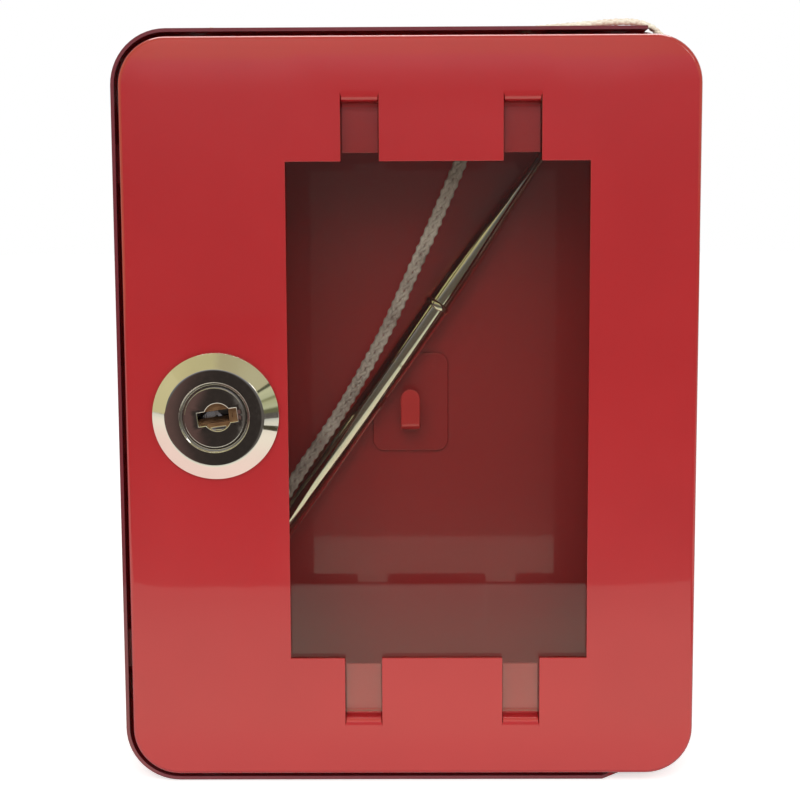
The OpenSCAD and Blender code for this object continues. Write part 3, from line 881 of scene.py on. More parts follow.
@dataclass
class Case:
    """The wall box: one sheet bent round its back, with a cut-away rim at the hinge side."""

    outline: RoundRect = RoundRect(-58.0, 58.0, -76.0, 76.0, 11.0)
    sheet: float = 0.7
    back_bend: float = 1.2
    rim_y: float = -38.5
    rim_round: float = 0.3
    relief_x: float = 47.3
    relief_y: float = -31.0
    low_slope: float = 7.5
    low_reach: float = 0.05
    notch_x: float = 53.9
    notch_y: float = -27.4
    holes: tuple[tuple[float, float], ...] = ((46, 65), (-46, 65), (46, -65), (-46, -65))
    hole_r: float = 2.25
    hole_field: float = 3.6

    def build(self, finisher: Finisher) -> None:
        """Builds the shell and softens the pressings fixed in it.

        Args:
            finisher: Gives the finishes.
        """
        self.shell(finisher)
        # The key hook takes painted light on its forward tongue, over the darker painted-shade case red
        finisher.soften(("key_hook",), HOOK_SHADE_AND_LIGHT, Body.CASE, 0.25)
        finisher.soften(("hinge_bracket_upper", "hinge_bracket_lower", "lock_keeper",
                         "door_stops"), ENAMEL, Body.CASE, 0.15)

    def shell(self, finisher: Finisher) -> None:
        """Bends the sheet round the back, cuts the hinge side's rim away and the cord notch.

        Args:
            finisher: Gives the finish.
        """
        shape = self.outline.inset(self.back_bend).plate(0.0)
        rim = shape.edges[:]
        rim = draw_rim(shape, rim, self.outline, quarter(self.back_bend, 5, -1.0))
        draw_rim(shape, rim, self.outline, [(0.0, self.rim_y + self.back_bend)])
        for x, z in self.holes:
            punch(shape, x, z, self.hole_r, self.hole_field)
        cut_planes(shape, 1, (self.relief_y, self.notch_y))
        cut_planes(shape, 0, (self.relief_x, self.notch_x))
        gone = boxed(shape, (self.relief_x, -BEYOND, -BEYOND), (BEYOND, self.relief_y, BEYOND))
        gone += boxed(shape, (self.relief_x, self.relief_y, 0.0),
                      (self.notch_x, self.notch_y, BEYOND))
        bmesh.ops.delete(shape, geom=gone, context="FACES")
        self.slope_away(shape)
        face_along(shape, 1.0)
        # The case takes painted shade: a darker red overall and a dark rim front
        part = finisher.piece("case_shell", mesh_of(shape, "case_shell"), SHADED_CASE, Body.CASE,
                              ("case_band", "back_panel"))
        add_wall(part, self.sheet)
        add_bevel(part, self.rim_round, 3, 50.0)

    def slope_away(self, shape: bmesh.types.BMesh) -> None:
        """Cuts the end of the rim below aslant, so that it runs out towards the hinge side.

        Args:
            shape: The case's sheet.
        """
        strip = [f for f in shape.faces
                 if all(v.co.z < self.outline.z0 + self.low_reach for v in f.verts)]
        corner = Vector((self.relief_x, self.relief_y, 0.0))
        inward = Vector((self.rim_y - self.relief_y, self.low_slope, 0.0))
        geom = {g for f in strip for g in (f, *f.edges, *f.verts)}
        cut = bmesh.ops.bisect_plane(shape, geom=list(geom), dist=WELD, plane_co=corner,
                                     plane_no=inward)["geom"]
        gone = [g for g in cut if isinstance(g, bmesh.types.BMFace)
                and (g.calc_center_median() - corner).dot(inward) < 0.0]
        bmesh.ops.delete(shape, geom=gone, context="FACES")


@dataclass
class Door:
    """The door: a shallow tray with a window whose notches leave four bent tongues."""

    outline: RoundRect = RoundRect(-56.4, 58.0, -74.4, 74.4, 9.5)
    sheet: float = 0.7
    front_y: float = -40.0
    flange_y: float = -32.0
    edge_r: float = 1.0
    cut_round: float = 0.14
    window: tuple[float, float, float, float] = (-23.8, 36.2, -50.0, 50.0)
    notch_xs: tuple[float, float] = (-9.1, 22.9)
    notch_half: float = 3.75
    notch_end: float = 63.4
    notch_drop: float = 0.4
    fold: float = 1.4
    fold_z: float = 62.0
    inner_fold: float = 0.3
    tongue_y: float = -37.2
    tongue_room: float = 0.12
    tip_z: float = 51.7
    lock: Point = (-38.2, -0.2, 8.1)
    lock_field: float = 9.0
    slots: tuple[tuple[float, float], ...] = ((57.6, 59.6), (-58.4, -56.4))

    def build(self, finisher: Finisher) -> None:
        """Builds the tray, dresses the pane and softens the hinge's pieces.

        Args:
            finisher: Gives the finishes.
        """
        self.tray(finisher)
        finisher.dress("glass_pane", GLASS)
        finisher.soften(("hinge_ear_upper", "hinge_ear_lower"), ENAMEL, Body.DOOR, 0.12)
        finisher.soften(("hinge_pin_upper", "hinge_pin_lower", "hinge_washers"), ZINC,
                        Body.DOOR, 0.15)

    def tray(self, finisher: Finisher) -> None:
        """Cuts the window and notches, bends the rim back and the tongues behind the pane.

        Args:
            finisher: Gives the finish.
        """
        shape = self.outline.inset(self.edge_r).plate(self.front_y)
        x0, x1, z0, z1 = self.window
        rim = shape.edges[:]
        rim = draw_rim(shape, rim, self.outline, quarter(self.edge_r, 5, 1.0))
        bend_y = self.front_y + self.edge_r
        draw_rim(shape, rim, self.outline, [(0.0, self.flange_y - bend_y)])
        sides = [(x - self.notch_half, x + self.notch_half) for x in self.notch_xs]
        cut_planes(shape, 0, (x0, x1, *(x for pair in sides for x in pair)))
        low, high = (s * self.notch_end - self.notch_drop for s in (-1, 1))
        cut_planes(shape, 2, (z0, z1, low, high))
        level = self.front_y + NEAR
        gone = boxed(shape, (x0, -BEYOND, z0), (x1, level, z1))
        for left, right in sides:
            for under, over in ((low, z0), (z1, high)):
                gone += boxed(shape, (left, -BEYOND, under), (right, level, over))
        bmesh.ops.delete(shape, geom=list(dict.fromkeys(gone)), context="FACES")
        for x in self.notch_xs:
            for up in (-1.0, 1.0):
                self.tongue(shape, x, up)
        punch(shape, *self.lock, self.lock_field)
        cut_planes(shape, 2, [z for slot in self.slots for z in slot])
        for under, over in self.slots:
            gone = boxed(shape, (self.outline.x1 - NEAR, bend_y, under), (BEYOND, 0.0, over))
            bmesh.ops.delete(shape, geom=gone, context="FACES")
        face_along(shape, -1.0)
        part = finisher.piece("door_tray", mesh_of(shape, "door_tray"), ENAMEL, Body.DOOR,
                              ("door_panel",))
        add_wall(part, self.sheet)
        add_bevel(part, self.cut_round, 2, 50.0)

    def tongue(self, shape: bmesh.types.BMesh, x: float, up: float) -> None:
        """Bends a tongue back from its notch's end and on behind the pane.

        Args:
            shape: The door's sheet.
            x: The middle of the notch.
            up: 1 for an upper notch, -1 for a lower one.
        """
        edge = [e for e in shape.edges if e.is_boundary
                and all(abs(v.co.z - up * self.notch_end + self.notch_drop) < NEAR
                        and abs(v.co.x - x) < self.notch_half + NEAR
                        and abs(v.co.y - self.front_y) < NEAR for v in e.verts)]
        path = [(-a, b) for a, b in quarter(self.fold, 6, 1.0)]
        path.append((0.0, self.tongue_y - self.inner_fold - self.front_y - self.fold))
        path += [(-out, back) for back, out in quarter(self.inner_fold, 3, 1.0)]
        tip = self.tip_z + up * self.notch_drop
        path.append((tip - (self.fold_z - self.inner_fold), 0.0))
        for i, (out, back) in enumerate(path):
            verts, edge = extruded(shape, edge)
            for vert in verts:
                vert.co += Vector((0.0, back, up * out))
                if i == 0:
                    vert.co.x += self.tongue_room if vert.co.x < x else -self.tongue_room


@dataclass
class CamLock:
    """The lock: a chromed bezel and plug in front, its nut and cam inside the door."""

    x: float = -38.2
    z: float = -0.2
    front_y: float = -40.0
    bezel_r: float = 12.7
    bezel_edge: float = 0.8
    crest_r: float = 9.7
    crest: float = 3.0
    crest_round: float = 0.12
    lip_r: float = 6.95
    bore_r: float = 6.45
    barrel_r: float = 8.0
    barrel_flat: float = 7.0
    barrel_l: float = 16.5
    groove: float = 0.9
    plug_r: float = 6.4
    plug_rim_r: float = 6.0
    plug_l: float = 17.0
    plug_drop: float = 0.1
    keyhole_tilt: float = 8.0
    keyhole_side: float = 0.6
    keyhole_r: float = 2.7
    keyhole_half: tuple[float, float] = (3.9, 1.3)
    keyhole_floor: float = 0.6
    keyhole_round: float = 0.24
    ward: Point = (0.2, -2.35, -3.0)
    ward_size: Point = (3.6, 0.9, 3.6)
    tail: Point = (5.0, 5.0, 1.8)
    tail_sunk: float = 0.85
    block_round: float = 0.2

    def place(self) -> Matrix:
        """Returns the turn and shift that points a spun shape's z out of the door."""
        return (Matrix.Translation((self.x, self.front_y, self.z))
                @ Matrix.Rotation(math.radians(90), 4, "X"))

    def build(self, finisher: Finisher) -> None:
        """Builds the housing and plug, and dresses or softens the lock's other pieces.

        Args:
            finisher: Gives the finishes.
        """
        self.housing(finisher)
        finisher.soften(("lock_washer", "lock_nut"), ZINC, Body.DOOR, 0.2)
        self.plug(finisher)
        finisher.soften(("lock_cam", "cam_spring_washer", "cam_screw"), ZINC, Body.LOCK, 0.15)
        finisher.dress("lock_wafers", BRASS)
        finisher.dress("wafer_springs", ZINC)

    def housing(self, finisher: Finisher) -> None:
        """Spins the bezel and its barrel, and mills the barrel's two flats.

        Args:
            finisher: Gives the finish.
        """
        shape = spun([
            (self.bore_r, -self.barrel_l), (self.bore_r, self.crest - self.groove),
            (self.lip_r, self.crest - self.groove), (self.lip_r, self.crest),
            (self.crest_r - 0.2, self.crest), (self.crest_r + 0.18, self.crest - 0.07),
            (self.bezel_r, self.bezel_edge), (self.bezel_r, 0.0),
            (self.barrel_r, 0.0), (self.barrel_r, -self.barrel_l),
        ], 128, self.crest_round)
        for vert in shape.verts:
            if vert.co.z < -2 * self.crest_round and abs(vert.co.x) > self.barrel_flat:
                vert.co.x = math.copysign(self.barrel_flat, vert.co.x)
        part = finisher.piece("lock_bezel", mesh_of(shape, "lock_bezel", self.place()), CHROME,
                              Body.DOOR, ("lock_housing",), 40.0)
        even_normals(part)

    def plug(self, finisher: Finisher) -> None:
        """Spins the plug, opens its keyhole with a rounded edge and sets the ward inside.

        Args:
            finisher: Gives the finish.
        """
        top, r = self.crest - self.plug_drop, self.plug_rim_r
        back, step = -self.plug_l, self.crest - self.groove - self.plug_drop
        shape = spun([(0.0, back), (self.plug_r, back), (self.plug_r, step), (r, step),
                      (r, top - 0.16), (r - 0.05, top - 0.05), (r - 0.16, top)])
        rim = [e for e in shape.edges if e.is_boundary]
        loop = self.keyhole(shape, top)
        bmesh.ops.bridge_loops(shape, edges=rim + loop)
        verts, end = extruded(shape, loop)
        for vert in verts:
            vert.co.z = back + self.keyhole_floor
        bmesh.ops.contextual_create(shape, geom=end)
        bmesh.ops.recalc_face_normals(shape, faces=shape.faces[:])
        bmesh.ops.bevel(shape, geom=loop, offset=self.keyhole_round, offset_type="OFFSET",
                        affect="EDGES", segments=3, profile=0.5, material=-1,
                        clamp_overlap=True)
        self.block(shape, Vector(self.ward) + Vector((0.0, 0.0, top)), self.ward_size)
        self.block(shape, Vector((0.0, 0.0, back - self.tail_sunk)), self.tail)
        turn = self.place() @ Matrix.Rotation(math.radians(self.keyhole_tilt), 4, "Z")
        part = finisher.piece("lock_plug_face", mesh_of(shape, "lock_plug_face", turn), CHROME,
                              Body.LOCK, ("lock_plug",), 40.0)
        even_normals(part)

    def keyhole(self, shape: bmesh.types.BMesh, top: float) -> list[bmesh.types.BMEdge]:
        """Draws the keyhole: a slot with a round bulge above and below, set to one side.

        Args:
            shape: The plug.
            top: The height of its face.

        Returns:
            The edges of the keyhole's outline.
        """
        half_w, half_h = self.keyhole_half
        ring = bmesh.ops.create_circle(
            shape, cap_ends=False, radius=self.keyhole_r, segments=60,
            matrix=Matrix.Translation((0, 0, top)))["verts"]
        loop = edges_of(ring)
        for side in (-1, 1):
            verts = list(dict.fromkeys(v for e in loop for v in e.verts))
            cut = bmesh.ops.bisect_plane(shape, geom=verts + loop, dist=WELD,
                                         plane_co=(0, side * half_h, 0), plane_no=(0, 1, 0))
            loop = [g for g in cut["geom"] if isinstance(g, bmesh.types.BMEdge)]
        for vert in {v for e in loop for v in e.verts}:
            if abs(vert.co.y) < half_h - 1e-3:
                vert.co.x = math.copysign(half_w, vert.co.x)
                if abs(vert.co.y) > half_h * 0.75:
                    vert.co.y = math.copysign(half_h, vert.co.y)
            vert.co.x += self.keyhole_side
        return loop

    def block(self, shape: bmesh.types.BMesh, middle: Vector, size: Point) -> None:
        """Adds a block with rounded edges.

        Args:
            shape: The shape that it joins.
            middle: Its middle.
            size: Its size along x, y and z.
        """
        verts = bmesh.ops.create_cube(shape, size=1.0, matrix=Matrix.Translation(middle)
                                      @ Matrix.Diagonal((*size, 1.0)))["verts"]
        bmesh.ops.bevel(shape, geom=edges_of(verts), offset=self.block_round,
                        offset_type="OFFSET", affect="EDGES", segments=2, profile=0.5,
                        material=-1)


@dataclass
class Hammer:
    """The little hammer: a turned handle, a crosswise head and a wire ring at its butt."""

    butt: Point = (-53.5, -6.0, -65.5)
    lean: float = 54.9
    grip_r: float = 2.95
    butt_round: float = 0.6
    groove: float = 88.9
    groove_depth: float = 0.14
    bead: float = 0.32
    bead_half: float = 0.75
    bead_middle: float = 104.35
    taper: float = 105.2
    neck_r: float = 1.1
    collar: float = 150.2
    collar_r: float = 2.1
    head: float = 156.7
    head_r: float = 4.5
    head_l: float = 30.0
    head_edge: float = 0.8
    waist: float = 6.0
    waist_end: float = 7.0
    ring_hole: float = 3.5
    ring_drop: float = 3.4
    ring_r: float = 4.0
    ring_wire: float = 0.6

    def place(self) -> Matrix:
        """Returns the turn and shift that lays a shape's z along the handle."""
        return (Matrix.Translation(self.butt)
                @ Matrix.Rotation(math.radians(90 - self.lean), 4, "Y"))

    def across(self, height: float) -> Matrix:
        """Returns the turn and shift that lays a shape's z across the handle at a height."""
        return (self.place() @ Matrix.Translation((0, 0, height))
                @ Matrix.Rotation(math.radians(90), 4, "Y"))

    def build(self, finisher: Finisher) -> None:
        """Builds the handle, the head and the ring.

        Args:
            finisher: Gives the finishes.
        """
        self.handle(finisher)
        self.cross_head(finisher)
        self.ring(finisher)

    def handle(self, finisher: Finisher) -> None:
        """Spins the grip with its groove and bead, the taper, the neck and the collar.

        Args:
            finisher: Gives the finish.
        """
        r, deep, steps = self.grip_r, self.grip_r - self.groove_depth, 16
        profile = [(0.0, 0.0), (r - self.butt_round, 0.0), (r - 0.15, 0.2),
                   (r, self.butt_round), (r, self.groove - 0.05), (deep, self.groove + 0.08),
                   (deep, self.groove + 0.25), (r, self.groove + 0.4), (r, self.taper - 1.7)]
        for i in range(9):
            turn = math.pi * i / 8
            profile.append((r + self.bead * math.sin(turn),
                            self.bead_middle - self.bead_half * math.cos(turn)))
        for i in range(steps + 1):
            bend = math.cos(math.pi / 2 * i / steps) ** 2
            profile.append((self.neck_r + (r - 0.15 - self.neck_r) * bend,
                            self.taper + (self.collar - self.taper) * i / steps))
        under, end = self.head - self.head_r, self.head + self.head_r - 0.3
        profile += [(self.collar_r, self.collar + 0.6), (self.collar_r, under + 0.6),
                    (self.neck_r, under + 0.7), (self.neck_r, end), (0.0, end)]
        mesh = mesh_of(spun(profile), "hammer_shaft", self.place())
        finisher.piece("hammer_shaft", mesh, WARM, Body.CASE, ("hammer_handle",), 24.0)

    def cross_head(self, finisher: Finisher) -> None:
        """Spins the head and turns it across the handle.

        Args:
            finisher: Gives the finish.
        """
        half, r, slim = self.head_l / 2, self.head_r, self.head_r - self.head_edge
        side = [(slim, self.waist), (r, self.waist_end), (r, half - self.head_edge),
                (slim, half), (0.0, half)]
        profile = [(radius, -height) for radius, height in reversed(side)] + side
        mesh = mesh_of(spun(profile, 64, 0.25), "hammer_striker", self.across(self.head))
        finisher.piece("hammer_striker", mesh, WARM, Body.CASE, ("hammer_head",), 30.0)

    def ring(self, finisher: Finisher) -> None:
        """Spins a wire circle into the ring at the butt.

        Args:
            finisher: Gives the finish.
        """
        shape = bmesh.new()
        bmesh.ops.create_circle(shape, cap_ends=False, radius=self.ring_wire, segments=12,
                                matrix=Matrix.Translation((self.ring_r, 0, 0))
                                @ Matrix.Rotation(math.radians(90), 4, "X"))
        bmesh.ops.spin(shape, geom=shape.verts[:] + shape.edges[:], cent=(0, 0, 0),
                       axis=(0, 0, 1), angle=math.tau, steps=48, use_merge=True)
        bmesh.ops.recalc_face_normals(shape, faces=shape.faces[:])
        mesh = mesh_of(shape, "lanyard_wire", self.across(self.ring_hole - self.ring_drop))
        finisher.piece("lanyard_wire", mesh, ZINC, Body.CASE, ("lanyard_ring",), 60.0)


@dataclass
class Lanyard:
    """The flat braided cord, from the knot on the hammer's ring to the knot on the case's top.

    Each point of the route has the cord's turn about itself, in degrees, as its last number.
    """

    width: float = 3.0
    thick: float = 1.4
    pitch: float = 8.6
    yarn_r: float = 0.42
    weave: float = 0.2
    length: float = 0.289
    ring_knot: Point = (-53.4, -11.8, -65.2)
    ring_knot_r: float = 2.6
    end_knot: Point = (-42.0, -6.8, 78.0)
    end_knot_r: float = 1.8
    route: tuple[tuple[float, float, float, float], ...] = (
        (-53.3, -12, -65, 0), (-51, -12, -60.5, 0), (-46.5, -11.5, -52.5, 0),
        (-41.5, -11, -44.5, 0), (-31, -10, -27.5, 0), (-25.3, -10, -18.9, 0),
        (-21.1, -11.5, -12.5, 0), (-15.4, -13.5, -4.1, 0), (-9.4, -15.5, 6, 0),
        (-4, -18, 16.2, 0), (0.9, -20.5, 26.9, 0), (6, -23, 38.3, 0), (11, -26, 50, 0),
        (13.4, -27, 55.2, 15), (17.2, -27.8, 59.6, 40), (22.5, -28.4, 62.3, 65),
        (29, -28.8, 63, 80), (35.5, -29.2, 62.5, 90), (41, -29.2, 61.7, 90),
        (45.5, -29.2, 61.4, 90), (48.9, -29.2, 62.2, 90), (51.6, -29.2, 64.3, 90),
        (53, -29.2, 66.7, 90), (53.5, -29.2, 69.4, 90), (53, -29.2, 72.1, 90),
        (51.6, -29.2, 74.5, 90), (48.9, -29.2, 76.8, 96), (45.5, -29.2, 77.7, 105),
        (41, -28.8, 77.7, 105), (36, -27.8, 77.4, 104), (30.5, -26, 77.2, 96),
        (24.8, -23.8, 76.9, 90), (18.5, -20.8, 76.8, 90), (11.5, -17.6, 76.8, 90),
        (3.5, -14.6, 76.8, 90), (-5.5, -12.2, 76.8, 90), (-15, -10.4, 76.8, 90),
        (-24.5, -9, 76.8, 90), (-33.5, -7.8, 76.8, 90), (-41, -7, 76.9, 90),
    )

    def build(self, finisher: Finisher) -> None:
        """Args:
            finisher: Gives the finish.
        """
        cord = self.tubes(finisher, "lanyard_braid", list(self.yarns()), self.yarn_r, ("cord",))
        knots = [
            self.knot(finisher, "ring_knot_tied", self.ring_knot, self.ring_knot_r, "ring_knot",
                      (0.4, 0.3, 0.2)),
            self.knot(finisher, "end_knot_tied", self.end_knot, self.end_knot_r, "end_knot",
                      (0.2, 1.3, 0.5)),
        ]
        path = [[c * MM for c in point[:3]] for point in self.route]
        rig.cord(cord, exit=tuple(path[0]), length=self.length, diameter=self.width * MM,
                far_end="knot", stiffness="limp", lay="loose", path=path, with_pieces=knots)

    def line(self, step: float) -> list[tuple[Vector, Vector, Vector, float]]:
        """Runs a smooth line through the route.

        Args:
            step: Distance between its points.

        Returns:
            For each point its place, the directions of the cord's width and thickness, and the
            length so far.
        """
        points = [Vector(p) for p in self.route]
        padded = [points[0] * 2 - points[1], *points, points[-1] * 2 - points[-2]]
        fine: list[Vector] = []
        for a, b, c, d in zip(padded, padded[1:], padded[2:], padded[3:]):
            for i in range(40):
                t = i / 40
                fine.append(0.5 * ((2 * b) + (c - a) * t + (2 * a - 5 * b + 4 * c - d) * t * t
                                   + (3 * b - a - 3 * c + d) * t ** 3))
        fine.append(points[-1].copy())
        spaced = [(fine[0], 0.0)]
        run = 0.0
        for a, b in zip(fine, fine[1:]):
            run += (b.to_3d() - a.to_3d()).length
            if run - spaced[-1][1] >= step:
                spaced.append((b, run))
        found = []
        for i, (place, so_far) in enumerate(spaced):
            before, after = spaced[max(i - 3, 0)][0], spaced[min(i + 3, len(spaced) - 1)][0]
            way = (after.to_3d() - before.to_3d()).normalized()
            across = way.cross(Vector((0, 1, 0))).normalized()
            out = across.cross(way)
            turn = math.radians(place.w)
            wide = across * math.cos(turn) + out * math.sin(turn)
            found.append((place.to_3d(), wide, way.cross(wide), so_far))
        return found

    def yarns(self) -> Iterable[list[Vector]]:
        """Yields the line of each of the eight yarns of the braid."""
        line = self.line(0.26)
        half_w = self.width / 2 - self.yarn_r - self.weave
        half_t = self.thick / 2 - self.yarn_r - self.weave
        for way in (1.0, -1.0):
            for k in range(4):
                yarn = []
                for place, wide, thin, so_far in line:
                    turn = way * math.tau * so_far / self.pitch + k * math.pi / 2
                    over = way * self.weave * math.cos(4 * math.tau * so_far / self.pitch)
                    yarn.append(place + wide * (half_w + over) * math.cos(turn)
                                + thin * (half_t + over) * math.sin(turn))
                yield yarn

    def tubes(self, finisher: Finisher, name: str, lines: list[list[Vector]], radius: float,
              stands_for: tuple[str, ...]) -> bpy.types.Object:
        """Sweeps a round yarn along each line and makes one mesh of them.

        Args:
            finisher: Gives the finish.
            name: The piece's name.
            lines: The yarns' centre lines, in millimetres.
            radius: The yarn's radius.
            stands_for: The CAD nodes that the piece replaces.

        Returns:
            The piece.
        """
        curve = bpy.data.curves.new(name, "CURVE")
        curve.dimensions = "3D"
        curve.bevel_depth = radius * MM
        curve.bevel_resolution = 1
        curve.use_fill_caps = True
        for line in lines:
            spline = curve.splines.new("POLY")
            spline.points.add(len(line) - 1)
            for point, place in zip(spline.points, line):
                point.co = (*(place * MM), 1.0)
        holder = bpy.data.objects.new(name + "_line", curve)
        mesh = bpy.data.meshes.new_from_object(holder)
        mesh.name = name
        bpy.data.objects.remove(holder)
        bpy.data.curves.remove(curve)
        return finisher.piece(name, mesh, BRAID, Body.CASE, stands_for, 80.0)

    def knot(self, finisher: Finisher, name: str, place: Point, radius: float, node: str,
             turn: Point) -> bpy.types.Object:
        """Ties an overhand knot of three twisted yarns.

        Args:
            finisher: Gives the finish.
            name: The piece's name.
            place: The knot's middle.
            radius: Its radius.
            node: The CAD node that it replaces.
            turn: How it is turned, in radians about x, y and z.

        Returns:
            The piece.
        """
        yarn_r = radius * 0.17
        size = (radius - 2 * yarn_r) / 3.0
        spin = (Matrix.Rotation(turn[2], 3, "Z") @ Matrix.Rotation(turn[1], 3, "Y")
                @ Matrix.Rotation(turn[0], 3, "X"))
        centre, count = [], 120
        for i in range(count + 1):
            t = math.tau * i / count
            centre.append(Vector((math.sin(t) + 2 * math.sin(2 * t),
                                  math.cos(t) - 2 * math.cos(2 * t), -1.7 * math.sin(3 * t)))
                          * size)
        lines = []
        for k in range(3):
            line = []
            for i, point in enumerate(centre):
                way = (centre[(i + 1) % count] - centre[(i - 1) % count]).normalized()
                side = way.cross(Vector((0, 0, 1))).normalized()
                over = side.cross(way)
                angle = math.tau * (k / 3 + 6 * i / count)
                line.append(Vector(place) + spin @ (
                    point + (side * math.cos(angle) + over * math.sin(angle)) * yarn_r * 0.95))
            lines.append(line)
        return self.tubes(finisher, name, lines, yarn_r, (node,))


class Seen(Enum):
    """Which rays see a stage piece."""

    ALL = "all"
    SHINE = "shine"


@dataclass(frozen=True)
class Lamp:
    """A soft lamp, its place and size in metres and its power in watts."""

    name: str
    place: Point
    target: Point
    size: float
    power: float


def lying(x0: float, x1: float, y0: float, y1: float, z: float) -> list[Point]:
    """Returns the corners of a level rectangle, in metres."""
    return [(x0, y0, z), (x1, y0, z), (x1, y1, z), (x0, y1, z)]


def standing(x0: float, x1: float, y: float, z0: float, z1: float) -> list[Point]:
    """Returns the corners of an upright rectangle that runs along x, in metres."""
    return [(x0, y, z0), (x1, y, z0), (x1, y, z1), (x0, y, z1)]


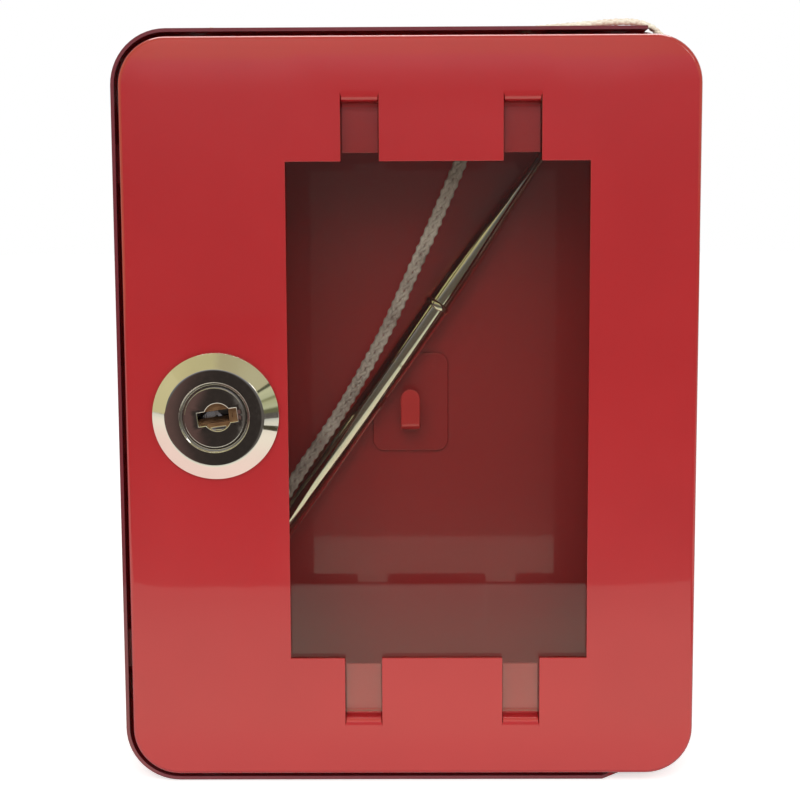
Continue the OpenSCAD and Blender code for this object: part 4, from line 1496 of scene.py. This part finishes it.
@dataclass
class Studio:
    """The stage: camera, pale floor, cards that the shine reflects, lamps and background."""

    camera_at: Point = (0.0012, -0.3585, 0.04045)
    focal: float = 72.36
    tilt: float = 6.73
    yaw: float = -0.47
    roll: float = -0.28
    floor_z: float = -0.0762
    floor_half: float = 4.0
    room_half: float = 1.4
    room_front: float = -1.5
    room_back: float = 0.6
    room_top: float = 1.6
    pale_to: float = -0.211
    pale_end: float = -0.042
    flag_top: float = 0.36
    fan_hub: float = 0.2785
    strip_low: float = 0.5
    strip_high: float = 0.75
    world_strength: float = 0.55
    lamps: tuple[Lamp, ...] = (
        Lamp("key_lamp", (-0.1, -1.0, 0.65), (0.0, 0.0, 0.0), 0.8, 5.4),
        Lamp("fill_lamp", (0.8, -0.7, 0.4), (0.0, 0.0, 0.0), 0.8, 1.8),
        Lamp("low_lamp", (0.0, -0.13, -0.05), (0.0, -0.04, -0.055), 0.25, 0.035),
    )

    def camera(self) -> None:
        """Makes the camera that took the photograph."""
        tilt, yaw, roll = (math.radians(a) for a in (self.tilt, self.yaw, self.roll))
        ahead = Vector((math.sin(yaw) * math.cos(tilt), math.cos(yaw) * math.cos(tilt),
                        -math.sin(tilt)))
        right = ahead.cross(Vector((0, 0, 1))).normalized()
        up = right.cross(ahead)
        rolled = right * math.cos(roll) + up * math.sin(roll)
        raised = up * math.cos(roll) - right * math.sin(roll)
        lens = bpy.data.cameras.new("camera")
        lens.lens = self.focal
        lens.sensor_width = 36.0
        lens.clip_start = 0.01
        lens.clip_end = 50.0
        camera = bpy.data.objects.new("camera", lens)
        turn = Matrix((rolled, raised, -ahead)).transposed().to_4x4()
        camera.matrix_world = Matrix.Translation(self.camera_at) @ turn
        bpy.context.scene.collection.objects.link(camera)
        bpy.context.scene.camera = camera

    def card(self, name: str, corners: Sequence[Point], material: bpy.types.Material,
             seen: Seen = Seen.SHINE) -> bpy.types.Object:
        """Makes a flat card as a stage piece.

        Args:
            name: The card's name.
            corners: Its four corners.
            material: What it is made of.
            seen: Which rays see it.

        Returns:
            The card.
        """
        shape = bmesh.new()
        shape.faces.new([shape.verts.new(c) for c in corners])
        mesh = plain_mesh(shape, name)
        mesh.materials.append(material)
        card = bpy.data.objects.new(name, mesh)
        bpy.context.scene.collection.objects.link(card)
        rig.stage(card)
        if seen is Seen.SHINE:
            card.visible_camera = False
            card.visible_diffuse = False
            card.visible_volume_scatter = False
            card.visible_shadow = False
        return card

    def glow(self, name: str, colour: Colour, strength: float = 1.0) -> bpy.types.Material:
        """Returns a card's even glow."""
        tree = Tree(name)
        return tree.done(tree.add("Emission", Color=(*colour, 1.0), Strength=strength))

    def banded(self, name: str, axis: int, low: float, high: float,
               bands: Sequence[tuple[float, Colour]], hub: float = 0.0) -> bpy.types.Material:
        """Makes a glow whose colour changes in bands along an axis.

        Args:
            name: The material's name.
            axis: 0, 1 or 2 for x, y or z.
            low: Where the first band starts.
            high: Where the last one ends.
            bands: Places from 0 to 1 and their colours.
            hub: The y from which the bands fan out, or 0 where they run side by side.

        Returns:
            The material.
        """
        tree = Tree(name)
        parts = tree.add("SeparateXYZ", Vector=tree.coords()).outputs
        value = parts[axis]
        if hub:
            value = tree.math("DIVIDE", value, tree.math("SUBTRACT", hub, parts[1]))
        ramp = tree.add("ValToRGB", Fac=tree.spread(value, 0.0, 1.0, low, high))
        ramp.color_ramp.interpolation = "EASE"
        elements = ramp.color_ramp.elements
        while len(elements) < len(bands):
            elements.new(0.5)
        for element, (place, colour) in zip(elements, bands):
            element.position = place
            element.color = (*colour, 1.0)
        return tree.done(tree.add("Emission", Color=ramp.outputs["Color"]))

    def floor(self) -> None:
        """Lays the pale floor, white to the camera where the object throws no shadow."""
        tree = Tree("pale_floor")
        matt = tree.add("BsdfDiffuse", Color=(0.82, 0.81, 0.79, 1.0))
        direct = tree.add("LightPath").outputs["Is Camera Ray"]
        seen = tree.add("Emission", Color=(1.0, 1.0, 1.0, 1.0),
                        Strength=tree.spread(direct, 0.0, 0.6, 0.0, 1.0))
        both = tree.add("AddShader", None, {0: matt.outputs[0], 1: seen.outputs[0]})
        half = self.floor_half
        self.card("floor", lying(-half, half, -half, half, self.floor_z), tree.done(both),
                  Seen.ALL)

    def cards(self) -> None:
        """Stands the cards that the glass, chrome and enamel reflect."""
        z, far, top = self.floor_z + 0.5 * MM, self.room_half, self.room_top
        front, back = self.room_front, self.room_back
        self.card("floor_flag", lying(-far, far, front - 0.1, self.pale_to, z),
                  self.banded("dim_floor", 0, -0.157, -0.072, (
                      (0.0, (0.13, 0.075, 0.065)), (0.06, (0.13, 0.075, 0.065)),
                      (0.34, (0.035, 0.028, 0.024)), (0.78, (0.035, 0.028, 0.024)),
                      (0.95, (0.125, 0.11, 0.095))), self.fan_hub))
        self.card("near_floor", lying(-far, far, self.pale_to, self.pale_end, z),
                  self.banded("pale_table", 1, self.pale_to, self.pale_end, (
                      (0.0, (0.66, 0.66, 0.56)), (0.45, (0.90, 0.85, 0.70)),
                      (0.75, (1.05, 0.93, 0.76)), (1.0, (1.1, 0.80, 0.70)))))
        self.card("table_gap", lying(0.14, 0.2, -0.25, -0.06, z + MM),
                  self.glow("dark_gap", (0.07, 0.06, 0.035)))
        self.card("front_flag", standing(-far, far, front, z, self.flag_top),
                  self.banded("dim_room", 2, self.floor_z, self.flag_top, (
                      (0.0, (0.125, 0.11, 0.095)), (0.3, (0.12, 0.115, 0.105)),
                      (0.6, (0.18, 0.17, 0.18)), (1.0, (0.34, 0.32, 0.41)))))
        self.card("ceiling_card", ((-far, front, self.flag_top), (far, front, self.flag_top),
                                   (far, back, top), (-far, back, top)),
                  self.banded("olive_ceiling", 0, -far, far, (
                      (0.0, (0.66, 0.58, 0.30)), (0.42, (0.60, 0.53, 0.27)),
                      (0.5, (0.50, 0.43, 0.24)), (0.8, (0.55, 0.50, 0.30)))))
        walls = (
            ("left_card", -far, self.glow("olive_wall", (0.70, 0.62, 0.33))),
            ("right_card", far, self.banded("window_wall", 2, -0.1, 0.9, (
                (0.0, (0.16, 0.16, 0.08)), (0.12, (0.16, 0.16, 0.08)),
                (0.2, (0.55, 0.56, 0.34)), (0.36, (0.50, 0.50, 0.28)),
                (0.45, (0.28, 0.28, 0.14)), (0.53, (0.55, 0.56, 0.34)),
                (0.76, (0.62, 0.62, 0.38)), (0.82, (0.07, 0.07, 0.04)),
                (0.90, (0.09, 0.09, 0.05)), (0.97, (0.52, 0.48, 0.30))))),
        )
        for name, x, material in walls:
            self.card(name, ((x, front, z), (x, back, z), (x, back, top), (x, front, top)),
                      material)
        self.card("sky_card", lying(-0.6, 0.6, -0.4, 0.85, 1.2),
                  self.glow("bright_sky", (1.0, 0.98, 0.95), 5.0))

    def bright_cards(self) -> None:
        """Hangs the small bright cards that draw fine white lines on edges and rims."""
        for name, left, right, y, strength in (("front_strip", -0.6, 0.35, -1.35, 7.0),
                                               ("right_strip", 0.55, 0.95, -1.05, 5.0)):
            strip = self.card(name, standing(left, right, y, self.strip_low, self.strip_high),
                              self.glow(name + "_glow", (1.0, 0.98, 0.95), strength))
            strip.visible_transmission = False

    def light(self) -> None:
        """Hangs the soft lamps, which only matt surfaces see."""
        for spec in self.lamps:
            lamp = bpy.data.lights.new(spec.name, "AREA")
            lamp.shape = "RECTANGLE"
            lamp.size = spec.size
            lamp.size_y = min(spec.size, 2 * (spec.place[2] - self.floor_z) * 0.8)
            lamp.energy = spec.power
            holder = bpy.data.objects.new(spec.name, lamp)
            aim = (Vector(spec.target) - Vector(spec.place)).to_track_quat("-Z", "Y")
            holder.matrix_world = Matrix.Translation(spec.place) @ aim.to_matrix().to_4x4()
            holder.visible_glossy = False
            holder.visible_transmission = False
            holder.visible_camera = False
            bpy.context.scene.collection.objects.link(holder)

    def background(self) -> None:
        """Sets a plain white world, at full strength where it is seen and dimmer as light."""
        tree = Tree("studio", world=True)
        path = tree.add("LightPath").outputs
        seen = tree.math("MAXIMUM", path["Is Camera Ray"], path["Is Transmission Ray"])
        white = tree.math("MAXIMUM", seen, path["Is Glossy Ray"])
        bpy.context.scene.world = tree.done(tree.add(
            "Background", Color=(1.0, 1.0, 1.0, 1.0),
            Strength=tree.spread(white, self.world_strength, 1.0, 0.0, 1.0)))
        bpy.context.scene.view_settings.view_transform = "Standard"


def main() -> None:
    """Builds and dresses the box, sets the stage and writes the two boxes' sizes."""
    logging.basicConfig(level=logging.INFO, format="%(message)s")
    finisher = Finisher()
    studio = Studio()
    studio.camera()
    Lanyard().build(finisher)
    Case().build(finisher)
    Door().build(finisher)
    CamLock().build(finisher)
    Hammer().build(finisher)
    studio.floor()
    studio.cards()
    studio.bright_cards()
    studio.light()
    studio.background()
    boxes = {"cad": [list(corner) for corner in CAD_BOX],
             "visual": [list(corner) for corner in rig.bounds()]}
    with open("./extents.json", "w", encoding="utf-8") as sizes:
        json.dump(boxes, sizes)


if __name__ == "__main__":
    main()
